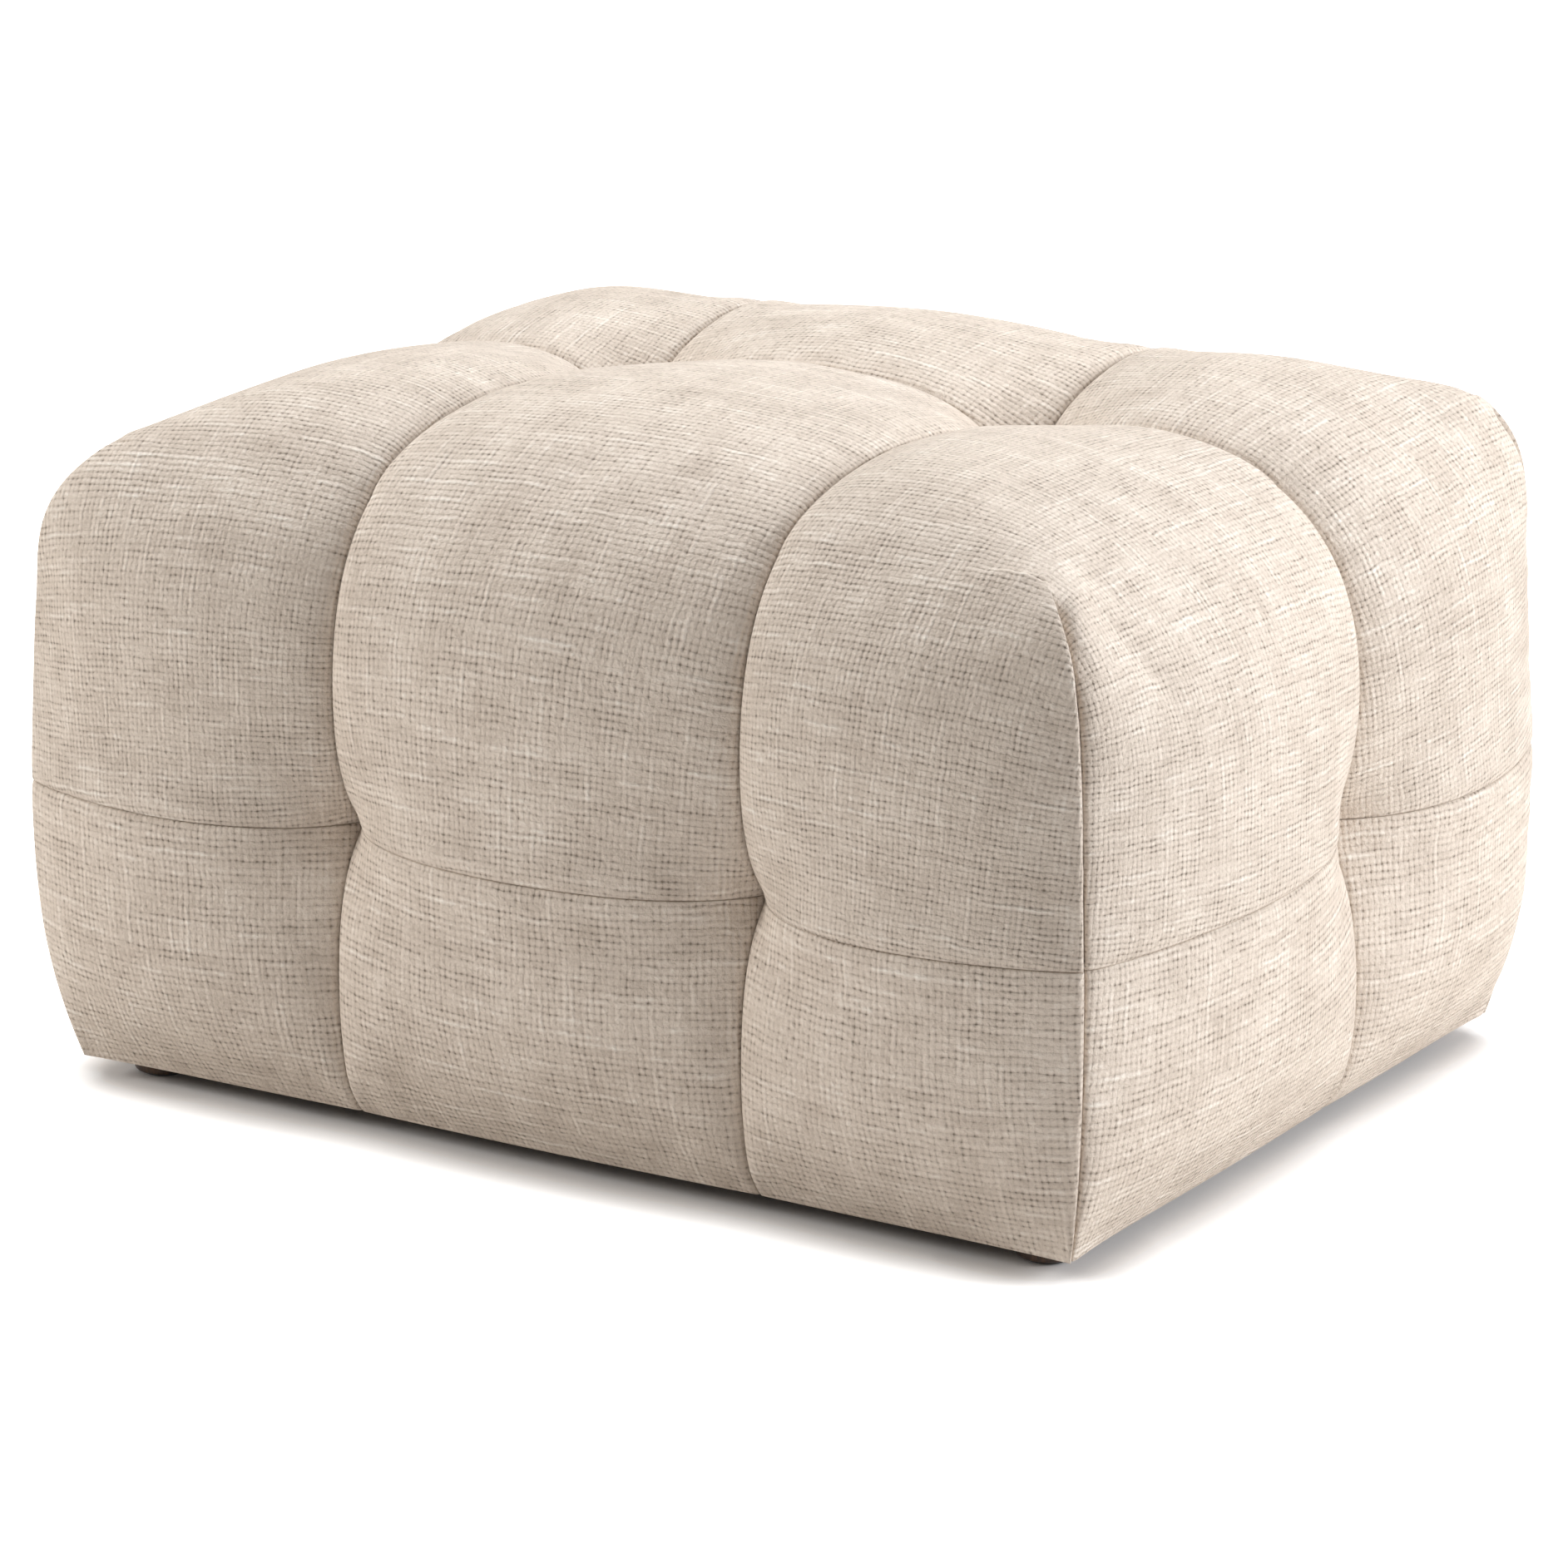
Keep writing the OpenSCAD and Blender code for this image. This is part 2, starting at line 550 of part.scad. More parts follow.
// Straps cross over and under each other; the tuft cords pass through the gaps between them.
// Profile of one strap that starts over or under and changes at each strap it crosses.
module strap_profile(end, crossings, first) {
    path = concat([[-end, -strap_lift]],
        [[crossings[0] - strap_flat - strap_slope, -strap_lift]],
        [for (c = [0:len(crossings) - 1]) each let (h = (c % 2 == 0 ? first : -first) * strap_lift)
            [[crossings[c] - strap_flat, h], [crossings[c] + strap_flat, h]]],
        [[crossings[len(crossings) - 1] + strap_flat + strap_slope, -strap_lift],
         [end, -strap_lift]]);
    polygon(concat([for (p = path) p + [0, strap_thickness / 2]],
        [for (i = [len(path) - 1:-1:0]) path[i] - [0, strap_thickness / 2]]));
}
module webbing_lengthwise() {
    color(strap_tint) for (i = [0:len(strap_ys) - 1])
        translate([0, strap_ys[i] + strap_width / 2, strap_middle]) rotate([90, 0, 0])
            linear_extrude(strap_width)
                strap_profile(post_x - strap_end, strap_xs, i % 2 == 0 ? 1 : -1);
}
module webbing_crosswise() {
    color(strap_tint) for (i = [0:len(strap_xs) - 1])
        translate([strap_xs[i] - strap_width / 2, 0, strap_middle]) rotate([90, 0, 90])
            linear_extrude(strap_width)
                strap_profile(post_y - strap_end, strap_ys, i % 2 == 0 ? -1 : 1);
}

module board_long(side) {
    y0 = min(side * board_y, side * (board_y - board_thickness));
    color(hardboard) difference() {
        block([-board_x, y0, board_bottom], [board_x, y0 + board_thickness, deck_top]);
        for (s = [-1, 1])
            bore_y(s * cross_seam_x, waist_height, y0 - over, y0 + board_thickness + over,
                cord_hole);
    }
}
module lining_board_front() { board_long(-1); }
module lining_board_back() { board_long(1); }
module board_short(side) {
    x0 = min(side * board_x, side * (board_x - board_thickness));
    color(hardboard) difference() {
        block([x0, -post_y, board_bottom], [x0 + board_thickness, post_y, deck_top]);
        bore_x(long_seam_y, waist_height, x0 - over, x0 + board_thickness + over, cord_hole);
    }
}
module lining_board_left() { board_short(-1); }
module lining_board_right() { board_short(1); }

module dowels(play) {
    d = dowel_diameter + play;
    l = dowel_length / 2 + play;
    for (sy = [-1, 1]) {
        for (sx = [-1, 1]) {
            bore_y(sx * dowel_deck_x, deck_mid, sy * dowel_deck_y - l, sy * dowel_deck_y + l, d);
            bore_y(sx * dowel_base_x, base_mid, sy * dowel_base_y - l, sy * dowel_base_y + l, d);
        }
        bore_y(0, base_mid, sy * dowel_base_y - l, sy * dowel_base_y + l, d);
    }
}
module rail_dowels() { color(pine) dowels(0); }

module screw(play) {
    d = screw_diameter + play;
    translate([0, 0, -screw_length - play]) cylinder(h = screw_length + play, d = d);
    translate([0, 0, -head_depth]) cylinder(h = head_depth, d1 = d, d2 = head_diameter + play);
    if (play > 0) cylinder(h = over, d = head_diameter + play);
}
module screws(play) {
    for (sx = [-1, 1]) for (sy = [-1, 1]) {
        translate([sx * post_mid_x, sy * post_mid_y, deck_top]) screw(play);
        translate([sx * post_mid_x, sy * post_mid_y, frame_clearance]) mirror([0, 0, 1])
            screw(play);
    }
}
module frame_screws() { color(zinc) screws(0); }

module deck_rail_long(side) {
    y0 = side > 0 ? dowel_deck_y : -post_y;
    color(pine) difference() {
        block([-post_x, y0, deck_bottom], [post_x, y0 + deck_rail_width, deck_top]);
        dowels(hole_play);
        screws(hole_play);
    }
}
module deck_rail_front() { deck_rail_long(-1); }
module deck_rail_back() { deck_rail_long(1); }
module deck_rail_short(side) {
    x0 = side > 0 ? post_x - deck_rail_width : -post_x;
    color(pine) difference() {
        block([x0, seat_gap - dowel_deck_y, deck_bottom],
            [x0 + deck_rail_width, dowel_deck_y - seat_gap, deck_top]);
        dowels(hole_play);
    }
}
module deck_rail_left() { deck_rail_short(-1); }
module deck_rail_right() { deck_rail_short(1); }

module corner_post(sx, sy) {
    color(pine) difference() {
        translate([sx * post_mid_x - post_side / 2, sy * post_mid_y - post_side / 2,
            base_top + seat_gap])
            cube([post_side, post_side, deck_bottom - base_top - 2 * seat_gap]);
        screws(hole_play);
    }
}
module corner_post_front_left() { corner_post(-1, -1); }
module corner_post_front_right() { corner_post(1, -1); }
module corner_post_back_left() { corner_post(-1, 1); }
module corner_post_back_right() { corner_post(1, 1); }

// The nut of a foot sits in the rail from above, its flange flush with the wood.
module nut_seat() {
    for (sx = [-1, 1]) for (sy = [-1, 1]) {
        bore_z(sx * foot_x, sy * foot_y, frame_clearance - over, base_top + over,
            nut_barrel + hole_play);
        bore_z(sx * foot_x, sy * foot_y, base_top - flange_thickness - seat_gap,
            base_top + over, nut_flange + hole_play);
    }
}

// Staples along the edge of the dust cover, crown down and legs up in the wood.
module staple(play) {
    w = staple_wire + play;
    z0 = dust_top - dust_thickness - seat_gap - staple_wire;
    if (play == 0) translate([-staple_width / 2, -w / 2, z0]) cube([staple_width, w, w]);
    for (s = [-1, 1])
        translate([s * (staple_width - staple_wire) / 2 - w / 2, -w / 2, z0])
            cube([w, w, staple_leg + staple_wire + play]);
}
module staples(play) {
    for (s = [-1, 1]) {
        for (i = [0:staples_long - 1])
            translate([scaled(i, [0, staples_long - 1], -staple_x, staple_x),
                s * (dust_y - staple_inset), 0]) staple(play);
        for (i = [0:staples_short - 1])
            translate([s * (dust_x - staple_inset),
                scaled(i, [0, staples_short - 1], -staple_y, staple_y), 0])
                rotate([0, 0, 90]) staple(play);
    }
}
module dust_cover_staples() { color(zinc) staples(0); }

module base_rail_long(side) {
    y0 = side > 0 ? dowel_base_y : -base_y;
    color(pine) difference() {
        block([-base_x, y0, frame_clearance], [base_x, y0 + base_rail_width, base_top]);
        dowels(hole_play);
        screws(hole_play);
        nut_seat();
        staples(hole_play);
    }
}
module base_rail_front() { base_rail_long(-1); }
module base_rail_back() { base_rail_long(1); }
module base_rail_short(side) {
    x0 = side > 0 ? base_x - base_rail_width : -base_x;
    color(pine) difference() {
        block([x0, seat_gap - dowel_base_y, frame_clearance],
            [x0 + base_rail_width, dowel_base_y - seat_gap, base_top]);
        dowels(hole_play);
        staples(hole_play);
    }
}
module base_rail_left() { base_rail_short(-1); }
module base_rail_right() { base_rail_short(1); }
module base_cross_rail() {
    color(pine) difference() {
        block([-base_rail_width / 2, seat_gap - dowel_base_y, frame_clearance],
            [base_rail_width / 2, dowel_base_y - seat_gap, base_top]);
        dowels(hole_play);
    }
}

// A tuft cord with the knot behind its washer, drawn along Z with the tuft at the top end.
module cord(length) {
    translate([0, 0, -length]) cylinder(h = length, d = cord_diameter, $fn = 24);
    translate([0, 0, -length - knot_diameter / 2]) sphere(d = knot_diameter, $fn = 24);
    translate([0, 0, -length - over / 2]) cylinder(h = over, d = cord_diameter, $fn = 24);
}
module at_side_tufts() {
    for (sy = [-1, 1]) for (sx = [-1, 1])
        translate([sx * cross_seam_x, sy * core_y, waist_height]) rotate([-sy * 90, 0, 0])
            children();
    for (sx = [-1, 1])
        translate([sx * core_x, long_seam_y, waist_height]) rotate([0, sx * 90, 0]) children();
}
module side_tuft_cords() { color(cord_tint) at_side_tufts() cord(washer_seat + seat_gap); }
module washer() {
    difference() {
        cylinder(h = washer_thickness, d = washer_diameter);
        translate([0, 0, -over]) cylinder(h = washer_thickness + 2 * over,
            d = cord_diameter + hole_play);
    }
}
module side_tuft_washers() {
    color(black_cloth) at_side_tufts() translate([0, 0, -washer_seat]) washer();
}
module seat_tuft_cords() {
    color(cord_tint) for (s = [-1, 1]) translate([s * cross_seam_x, long_seam_y, core_z])
        cord(core_z - deck_top + tuft_bar_thickness + seat_gap);
}
// A bar under the webbing bears on two straps and holds the cord of a seat tuft.
module seat_tuft_bars() {
    color(hardboard) for (s = [-1, 1])
        translate([s * cross_seam_x, long_seam_y, deck_top - tuft_bar_thickness]) difference() {
            translate([-tuft_bar[0] / 2, -tuft_bar[1] / 2, 0]) cube(tuft_bar);
            translate([0, 0, -over])
                cylinder(h = tuft_bar_thickness + 2 * over, d = cord_diameter + hole_play);
        }
}

module dust_cover() {
    color(black_cloth) difference() {
        block([-dust_x, -dust_y, dust_top - dust_thickness], [dust_x, dust_y, dust_top]);
        for (sx = [-1, 1]) for (sy = [-1, 1])
            bore_z(sx * foot_x, sy * foot_y, 0, frame_clearance, bolt_diameter + 2 * hole_play);
        staples(hole_play);
    }
}

// A foot is turned: a rounded lower edge, tapered sides and a flat top.
module foot(sx, sy) {
    turn = [for (a = [0:15:90]) [foot_bottom / 2 - foot_round * (1 - sin(a)),
        glide_depth + foot_round * (1 - cos(a))]];
    color(dark_wood) translate([sx * foot_x, sy * foot_y, 0]) difference() {
        rotate_extrude() polygon(concat([[0, glide_depth]], turn,
            [[foot_top / 2, foot_head], [0, foot_head]]));
        cylinder(h = 2 * glide_depth + seat_gap, d = glide_diameter + hole_play);
        translate([0, 0, bolt_bottom - seat_gap])
            cylinder(h = foot_head, d = bolt_diameter + hole_play);
    }
}
module foot_front_left() { foot(-1, -1); }
module foot_front_right() { foot(1, -1); }
module foot_back_left() { foot(-1, 1); }
module foot_back_right() { foot(1, 1); }

module at_feet() {
    for (sx = [-1, 1]) for (sy = [-1, 1]) translate([sx * foot_x, sy * foot_y, 0]) children();
}
module foot_glides() {
    color(black_cloth) at_feet() cylinder(h = glide_thickness, d = glide_diameter);
}
module foot_bolts() {
    color(zinc) at_feet() translate([0, 0, bolt_bottom])
        cylinder(h = base_top - seat_gap - bolt_bottom, d = bolt_diameter);
}
module foot_nuts() {
    color(zinc) at_feet() difference() {
        union() {
            translate([0, 0, base_top - flange_thickness])
                cylinder(h = flange_thickness, d = nut_flange);
            translate([0, 0, base_top - nut_length]) cylinder(h = nut_length, d = nut_barrel);
        }
        translate([0, 0, base_top - nut_length - over])
            cylinder(h = nut_length + 2 * over, d = bolt_diameter + hole_play);
    }
}

upper_pad_front_left();
upper_pad_front_middle();
upper_pad_front_right();
upper_pad_back_left();
upper_pad_back_middle();
upper_pad_back_right();
lower_pad_front_left();
lower_pad_front_middle();
lower_pad_front_right();
lower_pad_back_left();
lower_pad_back_middle();
lower_pad_back_right();
lower_pad_left_front();
lower_pad_left_back();
lower_pad_right_front();
lower_pad_right_back();
seat_foam_block();
side_foam_front();
side_foam_back();
side_foam_left();
side_foam_right();
hessian_sheet();
webbing_lengthwise();
webbing_crosswise();
lining_board_front();
lining_board_back();
lining_board_left();
lining_board_right();
deck_rail_front();
deck_rail_back();
deck_rail_left();
deck_rail_right();
corner_post_front_left();
corner_post_front_right();
corner_post_back_left();
corner_post_back_right();
base_rail_front();
base_rail_back();
base_rail_left();
base_rail_right();
base_cross_rail();
rail_dowels();
frame_screws();
side_tuft_cords();
seat_tuft_cords();
side_tuft_washers();
seat_tuft_bars();
dust_cover();
dust_cover_staples();
foot_front_left();
foot_front_right();
foot_back_left();
foot_back_right();
foot_glides();
foot_bolts();
foot_nuts();
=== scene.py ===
# %% [markdown]
# # A tufted pouf
# The object is a low upholstered pouf: a block of padded cells, sewn and tufted, on four short
# feet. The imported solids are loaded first, and they are the frame that everything else must fit.
# Lengths are metres, the ground is at height 0, the front long side faces -Y and +Z is up.

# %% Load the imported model
import functools
import math

import bmesh
import bpy
import numpy as np
from mathutils import Matrix, Vector


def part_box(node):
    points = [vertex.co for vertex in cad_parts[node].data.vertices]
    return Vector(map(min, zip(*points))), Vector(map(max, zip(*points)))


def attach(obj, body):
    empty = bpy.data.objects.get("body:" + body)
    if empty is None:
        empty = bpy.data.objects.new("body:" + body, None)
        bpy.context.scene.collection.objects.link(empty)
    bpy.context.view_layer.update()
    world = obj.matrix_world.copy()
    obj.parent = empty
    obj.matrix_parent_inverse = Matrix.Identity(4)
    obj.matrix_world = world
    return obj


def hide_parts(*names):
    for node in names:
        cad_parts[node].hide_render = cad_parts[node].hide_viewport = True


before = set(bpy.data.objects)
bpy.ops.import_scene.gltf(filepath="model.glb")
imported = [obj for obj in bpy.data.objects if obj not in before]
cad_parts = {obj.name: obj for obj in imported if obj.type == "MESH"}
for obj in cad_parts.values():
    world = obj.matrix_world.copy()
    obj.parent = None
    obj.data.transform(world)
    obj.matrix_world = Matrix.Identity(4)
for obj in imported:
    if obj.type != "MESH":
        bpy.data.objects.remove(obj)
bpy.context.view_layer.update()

scene = bpy.context.scene
scene.view_settings.view_transform = "Standard"

# %% [markdown]
# ## The camera
# The place of the camera was worked out from the seams and corners of the photograph: low in
# front, to the right and far away, so a long lens fills the picture. It comes first, so that each
# later step can be looked at from the same place.

# %% Set the camera
TURN = 0.5685  # how far the view is turned round the pouf from the front, in radians
TILT = 0.2868  # how far it looks down
LEAN = -0.0077  # how far the picture leans
DISTANCE = 3.8524
LOOKS_AT = Vector((0, 0, 0.16253))
LENS_MM, SENSOR_MM = 142.83, 36
PICTURE = 1885
MIDDLE_OF_LENS = (947.6, 967.8)  # where the lens looks straight on, in pixels of that picture

camera = bpy.data.objects.new("camera", bpy.data.cameras.new("camera"))
scene.collection.objects.link(camera)
aimed = (Matrix.Rotation(TURN, 4, "Z") @ Matrix.Rotation(math.pi / 2 - TILT, 4, "X")
         @ Matrix.Rotation(LEAN, 4, "Z"))
camera.matrix_world = Matrix.Translation(LOOKS_AT) @ aimed @ Matrix.Translation((0, 0, DISTANCE))
camera.data.lens = LENS_MM
camera.data.sensor_width = SENSOR_MM
camera.data.shift_x = (PICTURE / 2 - MIDDLE_OF_LENS[0]) / PICTURE
camera.data.shift_y = (MIDDLE_OF_LENS[1] - PICTURE / 2) / PICTURE
bpy.context.scene.camera = camera
print("camera at", [round(c, 3) for c in camera.matrix_world.translation])

# %% [markdown]
# ## The shape of the cover
# The cover is sewn from flat pieces of cloth, and each cell between seams is filled until it
# crowns. One formula gives the whole surface: it pulls a plain box in to round shoulders and adds
# the padding on top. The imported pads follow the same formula, so the cloth lies where the solids
# are. Only here, each cell and corner is stuffed a little differently, as in the photograph.

# %% Sizes of the cover
HALF_L, HALF_D = 0.372, 0.280  # half the length and depth, to the corner seams
SEAT, WAIST, HEM = 0.434, 0.193, 0.0135  # heights of the top seams, waist seam and lower edge
CROSS_SEAM = 0.143  # the two cross seams lie this far left and right of the middle
LONG_SEAM = 0.0475  # the lengthwise seam lies this far behind the middle
FRONT_SHOULDER, BACK_SHOULDER = 3.7, 4.4  # higher is squarer
CORNER_SHOULDERS = ((6.6, 6.0), (4.4, 11.0))  # front left, front right, then back left and right
SHOULDER_FROM, SHOULDER_RUN = -0.1, 0.6  # where the front shoulder turns into the back one
SIDE_BOW = 0.004  # the middle of a side stands out this far
CORNER_LEAN = 0.0104  # the top of a corner leans in this far
HEM_INSET, HEM_CORNER, HEM_POWER = 0.025, 0.7, 7  # the lower edge is drawn in
HEM_CORNER_POWER = 2.7  # a corner is drawn in from higher up
SIDE_CROWN, TOP_CROWN = 0.024, 0.014
FULLNESS = 0.8
STUFFING = ((1.35, 1.0, 1.0), (0.6, 1.1, 1.15))  # of the top of each cell, front row and back row
CREASE, WAIST_CREASE, CREASE_WIDTH = 0.004, 0.0012, 0.0095
SIDE_TUFT, SIDE_TUFT_SPREAD = 0.032, 0.030
SEAT_TUFT, SEAT_TUFT_SPREAD = 0.059, 0.036
CROWN_START = (SEAT + WAIST) / 2
HEM_CROWN, HEM_FADE = 0.1, 0.105
BACK_LIFT, LIFT_FROM, LIFT_RUN, LIFT_WIDTH = 0.009, 0.10, 0.10, 0.025  # cross seams at the back
EDGE_POWER, CORNER_REACH, CORNER_CALM, OPEN_SHARE = 16, 6, 3, 0.5
FRONT_BACK, SHORT_SIDE, TOP = 0, 1, 2  # the three kinds of face of the box
print("half length, half depth, height of the seams on top:", HALF_L, HALF_D, SEAT)

# %% Padding between the seams
def mixed(a, b, share):
    return a + (b - a) * share


def smooth(t):
    c = np.clip(t, 0, 1)
    return c * c * (3 - 2 * c)


def closed(t):
    """Padding between two seams."""
    return np.maximum(np.sin(np.pi * np.clip(t, 0, 1)), 0) ** FULLNESS


def opened(far, run, over):
    """Padding far from one seam: over the shoulder it stays full."""
    shut = closed(far / run)
    free = np.sin(np.pi / 2 * np.clip(far / (run * OPEN_SHARE), 0, 1)) ** FULLNESS
    return mixed(shut, np.maximum(free, shut), over)


def padding(x, y, z, face, fill_share):
    """How far the cloth stands out from the seams, at a point of the box."""
    over = smooth((z - CROWN_START) / (SEAT - CROWN_START))
    dx, dy, dz = np.abs(np.abs(x) - CROSS_SEAM), np.abs(y - LONG_SEAM), np.abs(z - WAIST)
    along = np.where(np.abs(x) <= CROSS_SEAM, closed((x + CROSS_SEAM) / (2 * CROSS_SEAM)),
                     opened(dx, HALF_L - CROSS_SEAM, over))
    deep = opened(dy, HALF_D - np.sign(y - LONG_SEAM) * LONG_SEAM, over)
    row, column = (y > LONG_SEAM).astype(int), (x > -CROSS_SEAM).astype(int) + (x > CROSS_SEAM)
    fill = (mixed(SIDE_CROWN, TOP_CROWN * np.array(STUFFING)[row, column], over)
            * mixed(HEM_CROWN, 1, smooth((z - HEM) / HEM_FADE)))
    cell = np.choose(face, [along, deep, along * deep])
    upright = np.choose(face, [dx, dy, np.minimum(dx, dy)])
    far = np.choose(face, [np.hypot(dx, dz), np.hypot(dy, dz), np.hypot(dx, dy)])
    tuft = np.where(face == TOP, SEAT_TUFT * np.exp(-far / SEAT_TUFT_SPREAD),
                    SIDE_TUFT * np.exp(-far / SIDE_TUFT_SPREAD))
    crease = np.maximum(CREASE * np.exp(-upright / CREASE_WIDTH),
                        np.where(face == TOP, 0, WAIST_CREASE * np.exp(-dz / CREASE_WIDTH)))
    crease = crease * smooth((z - HEM) / (HEM_FADE / 2))
    lift = BACK_LIFT * over * smooth((y - LIFT_FROM) / LIFT_RUN) * np.exp(-(dx / LIFT_WIDTH) ** 2)
    steady = 1 - np.abs(x / HALF_L * y / HALF_D) ** CORNER_CALM * over
    return fill_share * fill * cell * steady + lift - tuft - crease * steady


# %% The formula of the cover
def cover(box, face, fill_share=1.0, sink=0.0):
    """Points of the cover over points of the box, pressed in by sink."""
    half = np.array([HALF_L, HALF_D])
    flat, z = box[:, :2], box[:, 2:]
    side, share = np.sign(flat), np.abs(flat) / half
    up = np.maximum(z - WAIST, 0) / (SEAT - WAIST)
    down = np.maximum(WAIST - z, 0) / (WAIST - HEM)
    k = share.prod(axis=1, keepdims=True) ** CORNER_REACH
    along = mixed(FRONT_SHOULDER, BACK_SHOULDER,
                  smooth((flat[:, 1:] / HALF_D - SHOULDER_FROM) / SHOULDER_RUN))
    right, back = (flat > 0).astype(int).T
    m = mixed(along, np.array(CORNER_SHOULDERS)[back, right][:, None], k)
    ring = (share ** EDGE_POWER).sum(axis=1, keepdims=True) ** (1 / EDGE_POWER)
    pull = 1 - (1 + up ** m) ** (-1 / m)
    hem = (HEM_INSET * mixed(1, HEM_CORNER, k)
           * down ** mixed(HEM_POWER, HEM_CORNER_POWER, k))
    flat = flat * (1 - pull * share ** along) + side * (
        SIDE_BOW * share ** 2 * (1 - share[:, ::-1] ** 2) - CORNER_LEAN * up * k
        - hem * share ** CORNER_REACH)
    tall = np.where(z > WAIST, mixed(WAIST, SEAT, up / (ring ** m + up ** m) ** (1 / m)), z)
    out = np.hstack([side * share ** (EDGE_POWER - 1) * ring ** (m - EDGE_POWER) / half,
                     up ** (m - 1) / (SEAT - WAIST)])
    out /= np.linalg.norm(out, axis=1, keepdims=True)
    return np.hstack([flat, tall]) + out * (padding(*box.T, face, fill_share) - sink)[:, None]


crown = cover(np.array([[0, (LONG_SEAM - HALF_D) / 2, SEAT]]), np.array([TOP]))
print("crown of the middle front cell:", crown.round(4))

# %% What lies behind the padding
REST_GAP = 0.0003  # pieces that rest on each other keep this distance
rail_low, rail_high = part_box("base_rail_front")
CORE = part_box("seat_foam_block")[1] + Vector((REST_GAP,) * 3)
BASE = (rail_high.x + REST_GAP, -rail_low.y + REST_GAP, rail_high.z + 2 * REST_GAP)
print("core", [round(c, 4) for c in CORE], "base", [round(c, 4) for c in BASE])

# %% [markdown]
# ## Cutting the cover into cells
# The seams cut the box into cells. Above the waist seam a cell wraps the shoulder in one piece of
# cloth, and a corner cell wraps three faces with a dart along its corner. Below it each face has
# its own piece. A grid operator makes each sheet of a cell. Its lines stand close together at a
# seam, where the cloth rolls in, and 7 mm apart elsewhere.

# %% The cells
STEP = 0.007
SEAM_GAP = 0.00025  # half the gap between two cells in a seam
ROLL = 0.0030  # radius with which the cloth turns into a seam
WAIST_ROLL = 0.0014  # the waist seam is drawn in less
ROLL_LINES = np.array((0, 0.0006, 0.0014, 0.0026))  # lines near a seam
ROLL_END = 0.0045  # and where the even ones begin
DART_TOP = 0.424  # the dart of an upper corner cell ends here
DART_TAPER = 0.02
X_ENDS, Y_ENDS = (-HALF_L, HALF_L), (-HALF_D, HALF_D)
SIDES = {"left": (-HALF_L, -CROSS_SEAM), "middle": (-CROSS_SEAM, CROSS_SEAM),
         "right": (CROSS_SEAM, HALF_L)}
DEPTHS = {"front": (-HALF_D, LONG_SEAM), "back": (LONG_SEAM, HALF_D)}


def lines(span, ends=()):
    """Grid lines over a span, crowded at both ends. Only the ends given have no seam."""
    lo, hi = (e if e in ends else e + sign * SEAM_GAP for e, sign in zip(span, (1, -1)))
    even = (lo + ROLL_END, hi - ROLL_END)
    count = max(round((even[1] - even[0]) / STEP), 2)
    return np.concatenate([lo + ROLL_LINES, np.linspace(*even, count + 1), hi - ROLL_LINES[::-1]])


cells = {}  # the sheets of each cell, and its seams but for the waist seam, as (axis, place)
for depth, y_span in DEPTHS.items():
    y_edge = max(y_span, key=abs)
    z_low, z_high = lines((HEM, WAIST), (HEM,)), lines((WAIST, SEAT), (SEAT,))
    for side, x_span in SIDES.items():
        x_lines, y_lines = lines(x_span, X_ENDS), lines(y_span, Y_ENDS)
        sheets = [(FRONT_BACK, y_edge, x_lines, z_high), (TOP, SEAT, x_lines, y_lines)]
        if side != "middle":
            sheets.append((SHORT_SIDE, max(x_span, key=abs), y_lines, z_high))
        cells[f"upper_{depth}_{side}"] = (sheets, [(1, LONG_SEAM)]
                                          + [(0, e) for e in x_span if e not in X_ENDS])
        cells[f"lower_{depth}_{side}"] = ([(FRONT_BACK, y_edge, lines(x_span), z_low)],
                                          [(0, e) for e in x_span])
    for side, x_edge in zip(("left", "right"), X_ENDS):
        cells[f"lower_{side}_{depth}"] = ([(SHORT_SIDE, x_edge, lines(y_span), z_low)],
                                          [(1, e) for e in y_span])
print("cells:", len(cells))

# %% [markdown]
# ## Laying the cloth
# The sheets of a cell are joined where they share an edge, then the formula places every point.
# Close to a seam the cloth turns in on a small radius, which draws the seam as a fine dark line
# with a rounded edge on each side. Each point also notes how near it lies to a seam, and the
# cloth there gets painted shade in its colour.

# %% Sheets of cloth
def grid_of_lines(bm, a_lines, b_lines, place, outward):
    """A grid with its lines at the values given, each point at place(a, b), facing outward."""
    verts = bmesh.ops.create_grid(bm, x_segments=len(a_lines) - 1, y_segments=len(b_lines) - 1,
                                  size=0.5)["verts"]
    for vert in verts:
        vert.co = place(a_lines[round((vert.co.x + 0.5) * (len(a_lines) - 1))],
                        b_lines[round((vert.co.y + 0.5) * (len(b_lines) - 1))])
    for face in {f for v in verts for f in v.link_faces}:
        face.normal_update()
        if face.normal.dot(outward) < 0:
            face.normal_flip()
    return verts


def sheet_of_box(bm, box_layer, face_layer, face, fixed, a_lines, b_lines):
    """A sheet of a cell on one face of the box, each point noting its place on the box."""
    def place(a, b):
        return {FRONT_BACK: (a, fixed, b), SHORT_SIDE: (fixed, a, b), TOP: (a, b, fixed)}[face]

    for vert in grid_of_lines(bm, a_lines, b_lines, place, Vector(place(0, 0))):
        vert[box_layer] = vert.co
        vert[face_layer] = face


def as_object(bm, name):
    """An object at the origin, made from a bmesh."""
    mesh = bpy.data.meshes.new(name)
    bm.to_mesh(mesh)
    bm.free()
    made = bpy.data.objects.new(name, mesh)
    scene.collection.objects.link(made)
    return made


# %% How the cloth turns and folds
GROOVE_DEPTH, GROOVE_WIDTH = 0.0034, 0.0046  # the groove beside a corner seam
TURN_WIDTH = 0.7  # share of a cell over which the slubs turn
FOLD_DEPTH, FOLD_WIDTH, FOLD_TOP, FOLD_FADE = 0.0062, 0.0060, 0.020, 0.050


